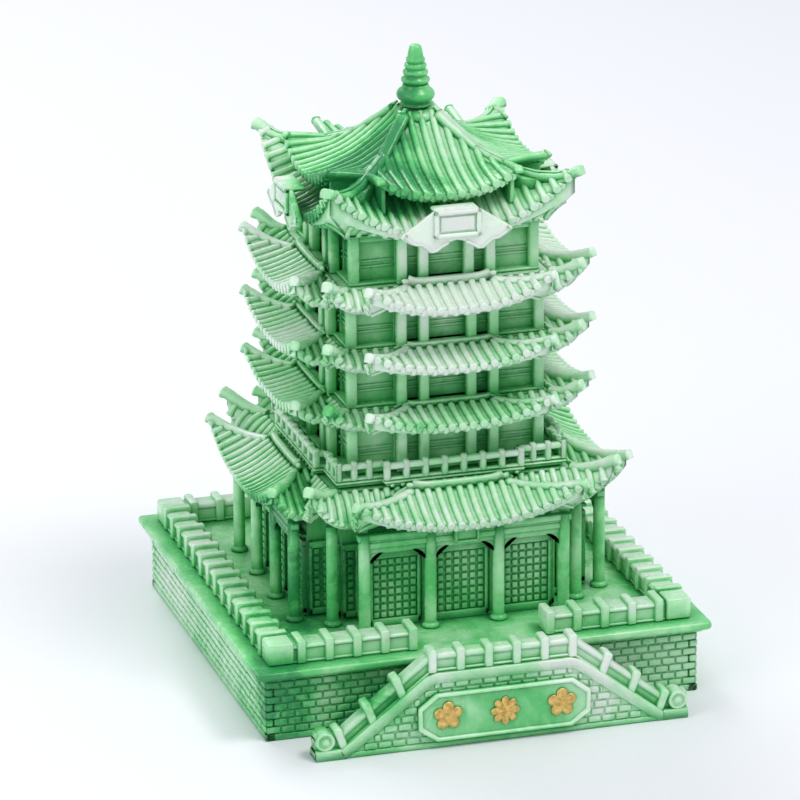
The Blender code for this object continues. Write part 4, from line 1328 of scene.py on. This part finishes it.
CAMERA_AT = (-0.33757, -1.10798, 0.45948)
CAMERA_AZIMUTH, CAMERA_DOWN, CAMERA_ROLL = 16.757, 19.148, -0.302
LENS, SENSOR = 244.5, 36.0


def make_camera():
    data = bpy.data.cameras.new("camera")
    data.lens = LENS
    data.sensor_width = SENSOR
    data.clip_start = 0.05
    camera = bpy.data.objects.new("camera", data)
    bpy.context.scene.collection.objects.link(camera)
    azimuth, down, roll = (math.radians(v) for v in (CAMERA_AZIMUTH, CAMERA_DOWN, CAMERA_ROLL))
    ahead = Vector((math.sin(azimuth) * math.cos(down), math.cos(azimuth) * math.cos(down),
                    -math.sin(down)))
    level = Vector((math.cos(azimuth), -math.sin(azimuth), 0))
    upright = level.cross(ahead)
    right = level * math.cos(roll) + upright * math.sin(roll)
    above = upright * math.cos(roll) - level * math.sin(roll)
    turn = Matrix((right, above, -ahead)).transposed().to_4x4()
    camera.matrix_world = Matrix.Translation(CAMERA_AT) @ turn
    bpy.context.scene.camera = camera


def make_floor():
    mesh = bpy.data.meshes.new("floor")
    half = 6.0
    mesh.from_pydata([(-half, -half, 0), (half, -half, 0), (half, half, 0), (-half, half, 0)], [],
                     [(0, 1, 2, 3)])
    floor = bpy.data.objects.new("floor", mesh)
    bpy.context.scene.collection.objects.link(floor)
    paint = bpy.data.materials.new("floor_paint")
    paint.use_nodes = True
    shader = paint.node_tree.nodes["Principled BSDF"]
    shader.inputs["Base Color"].default_value = (0.86, 0.87, 0.91, 1)
    shader.inputs["Roughness"].default_value = 0.55
    mesh.materials.append(paint)


def soft_light(name, at, aim, size, power, color=(1, 1, 1)):
    data = bpy.data.lights.new(name, "AREA")
    data.shape = "DISK"
    data.size = size
    data.energy = power
    data.color = color
    lamp = bpy.data.objects.new(name, data)
    bpy.context.scene.collection.objects.link(lamp)
    lamp.location = at
    lamp.rotation_euler = (Vector(aim) - Vector(at)).to_track_quat("-Z", "Y").to_euler()


def make_light():
    world = bpy.data.worlds.new("studio")
    bpy.context.scene.world = world
    world.use_nodes = True
    back = world.node_tree.nodes["Background"]
    back.inputs["Color"].default_value = (0.93, 0.95, 1.0, 1)
    back.inputs["Strength"].default_value = 0.58
    middle = (0, 0, 0.07)
    soft_light("key", (0.30, -0.35, 0.85), middle, 0.35, 3.6, (1.0, 0.99, 0.97))
    soft_light("fill", (-0.9, -0.4, 0.5), middle, 0.7, 2.8, (0.96, 0.98, 1.0))
    soft_light("rim", (-0.15, 0.75, 0.75), middle, 0.5, 3.8)


make_camera()
make_floor()
make_light()
bpy.context.scene.view_settings.view_transform = "Standard"
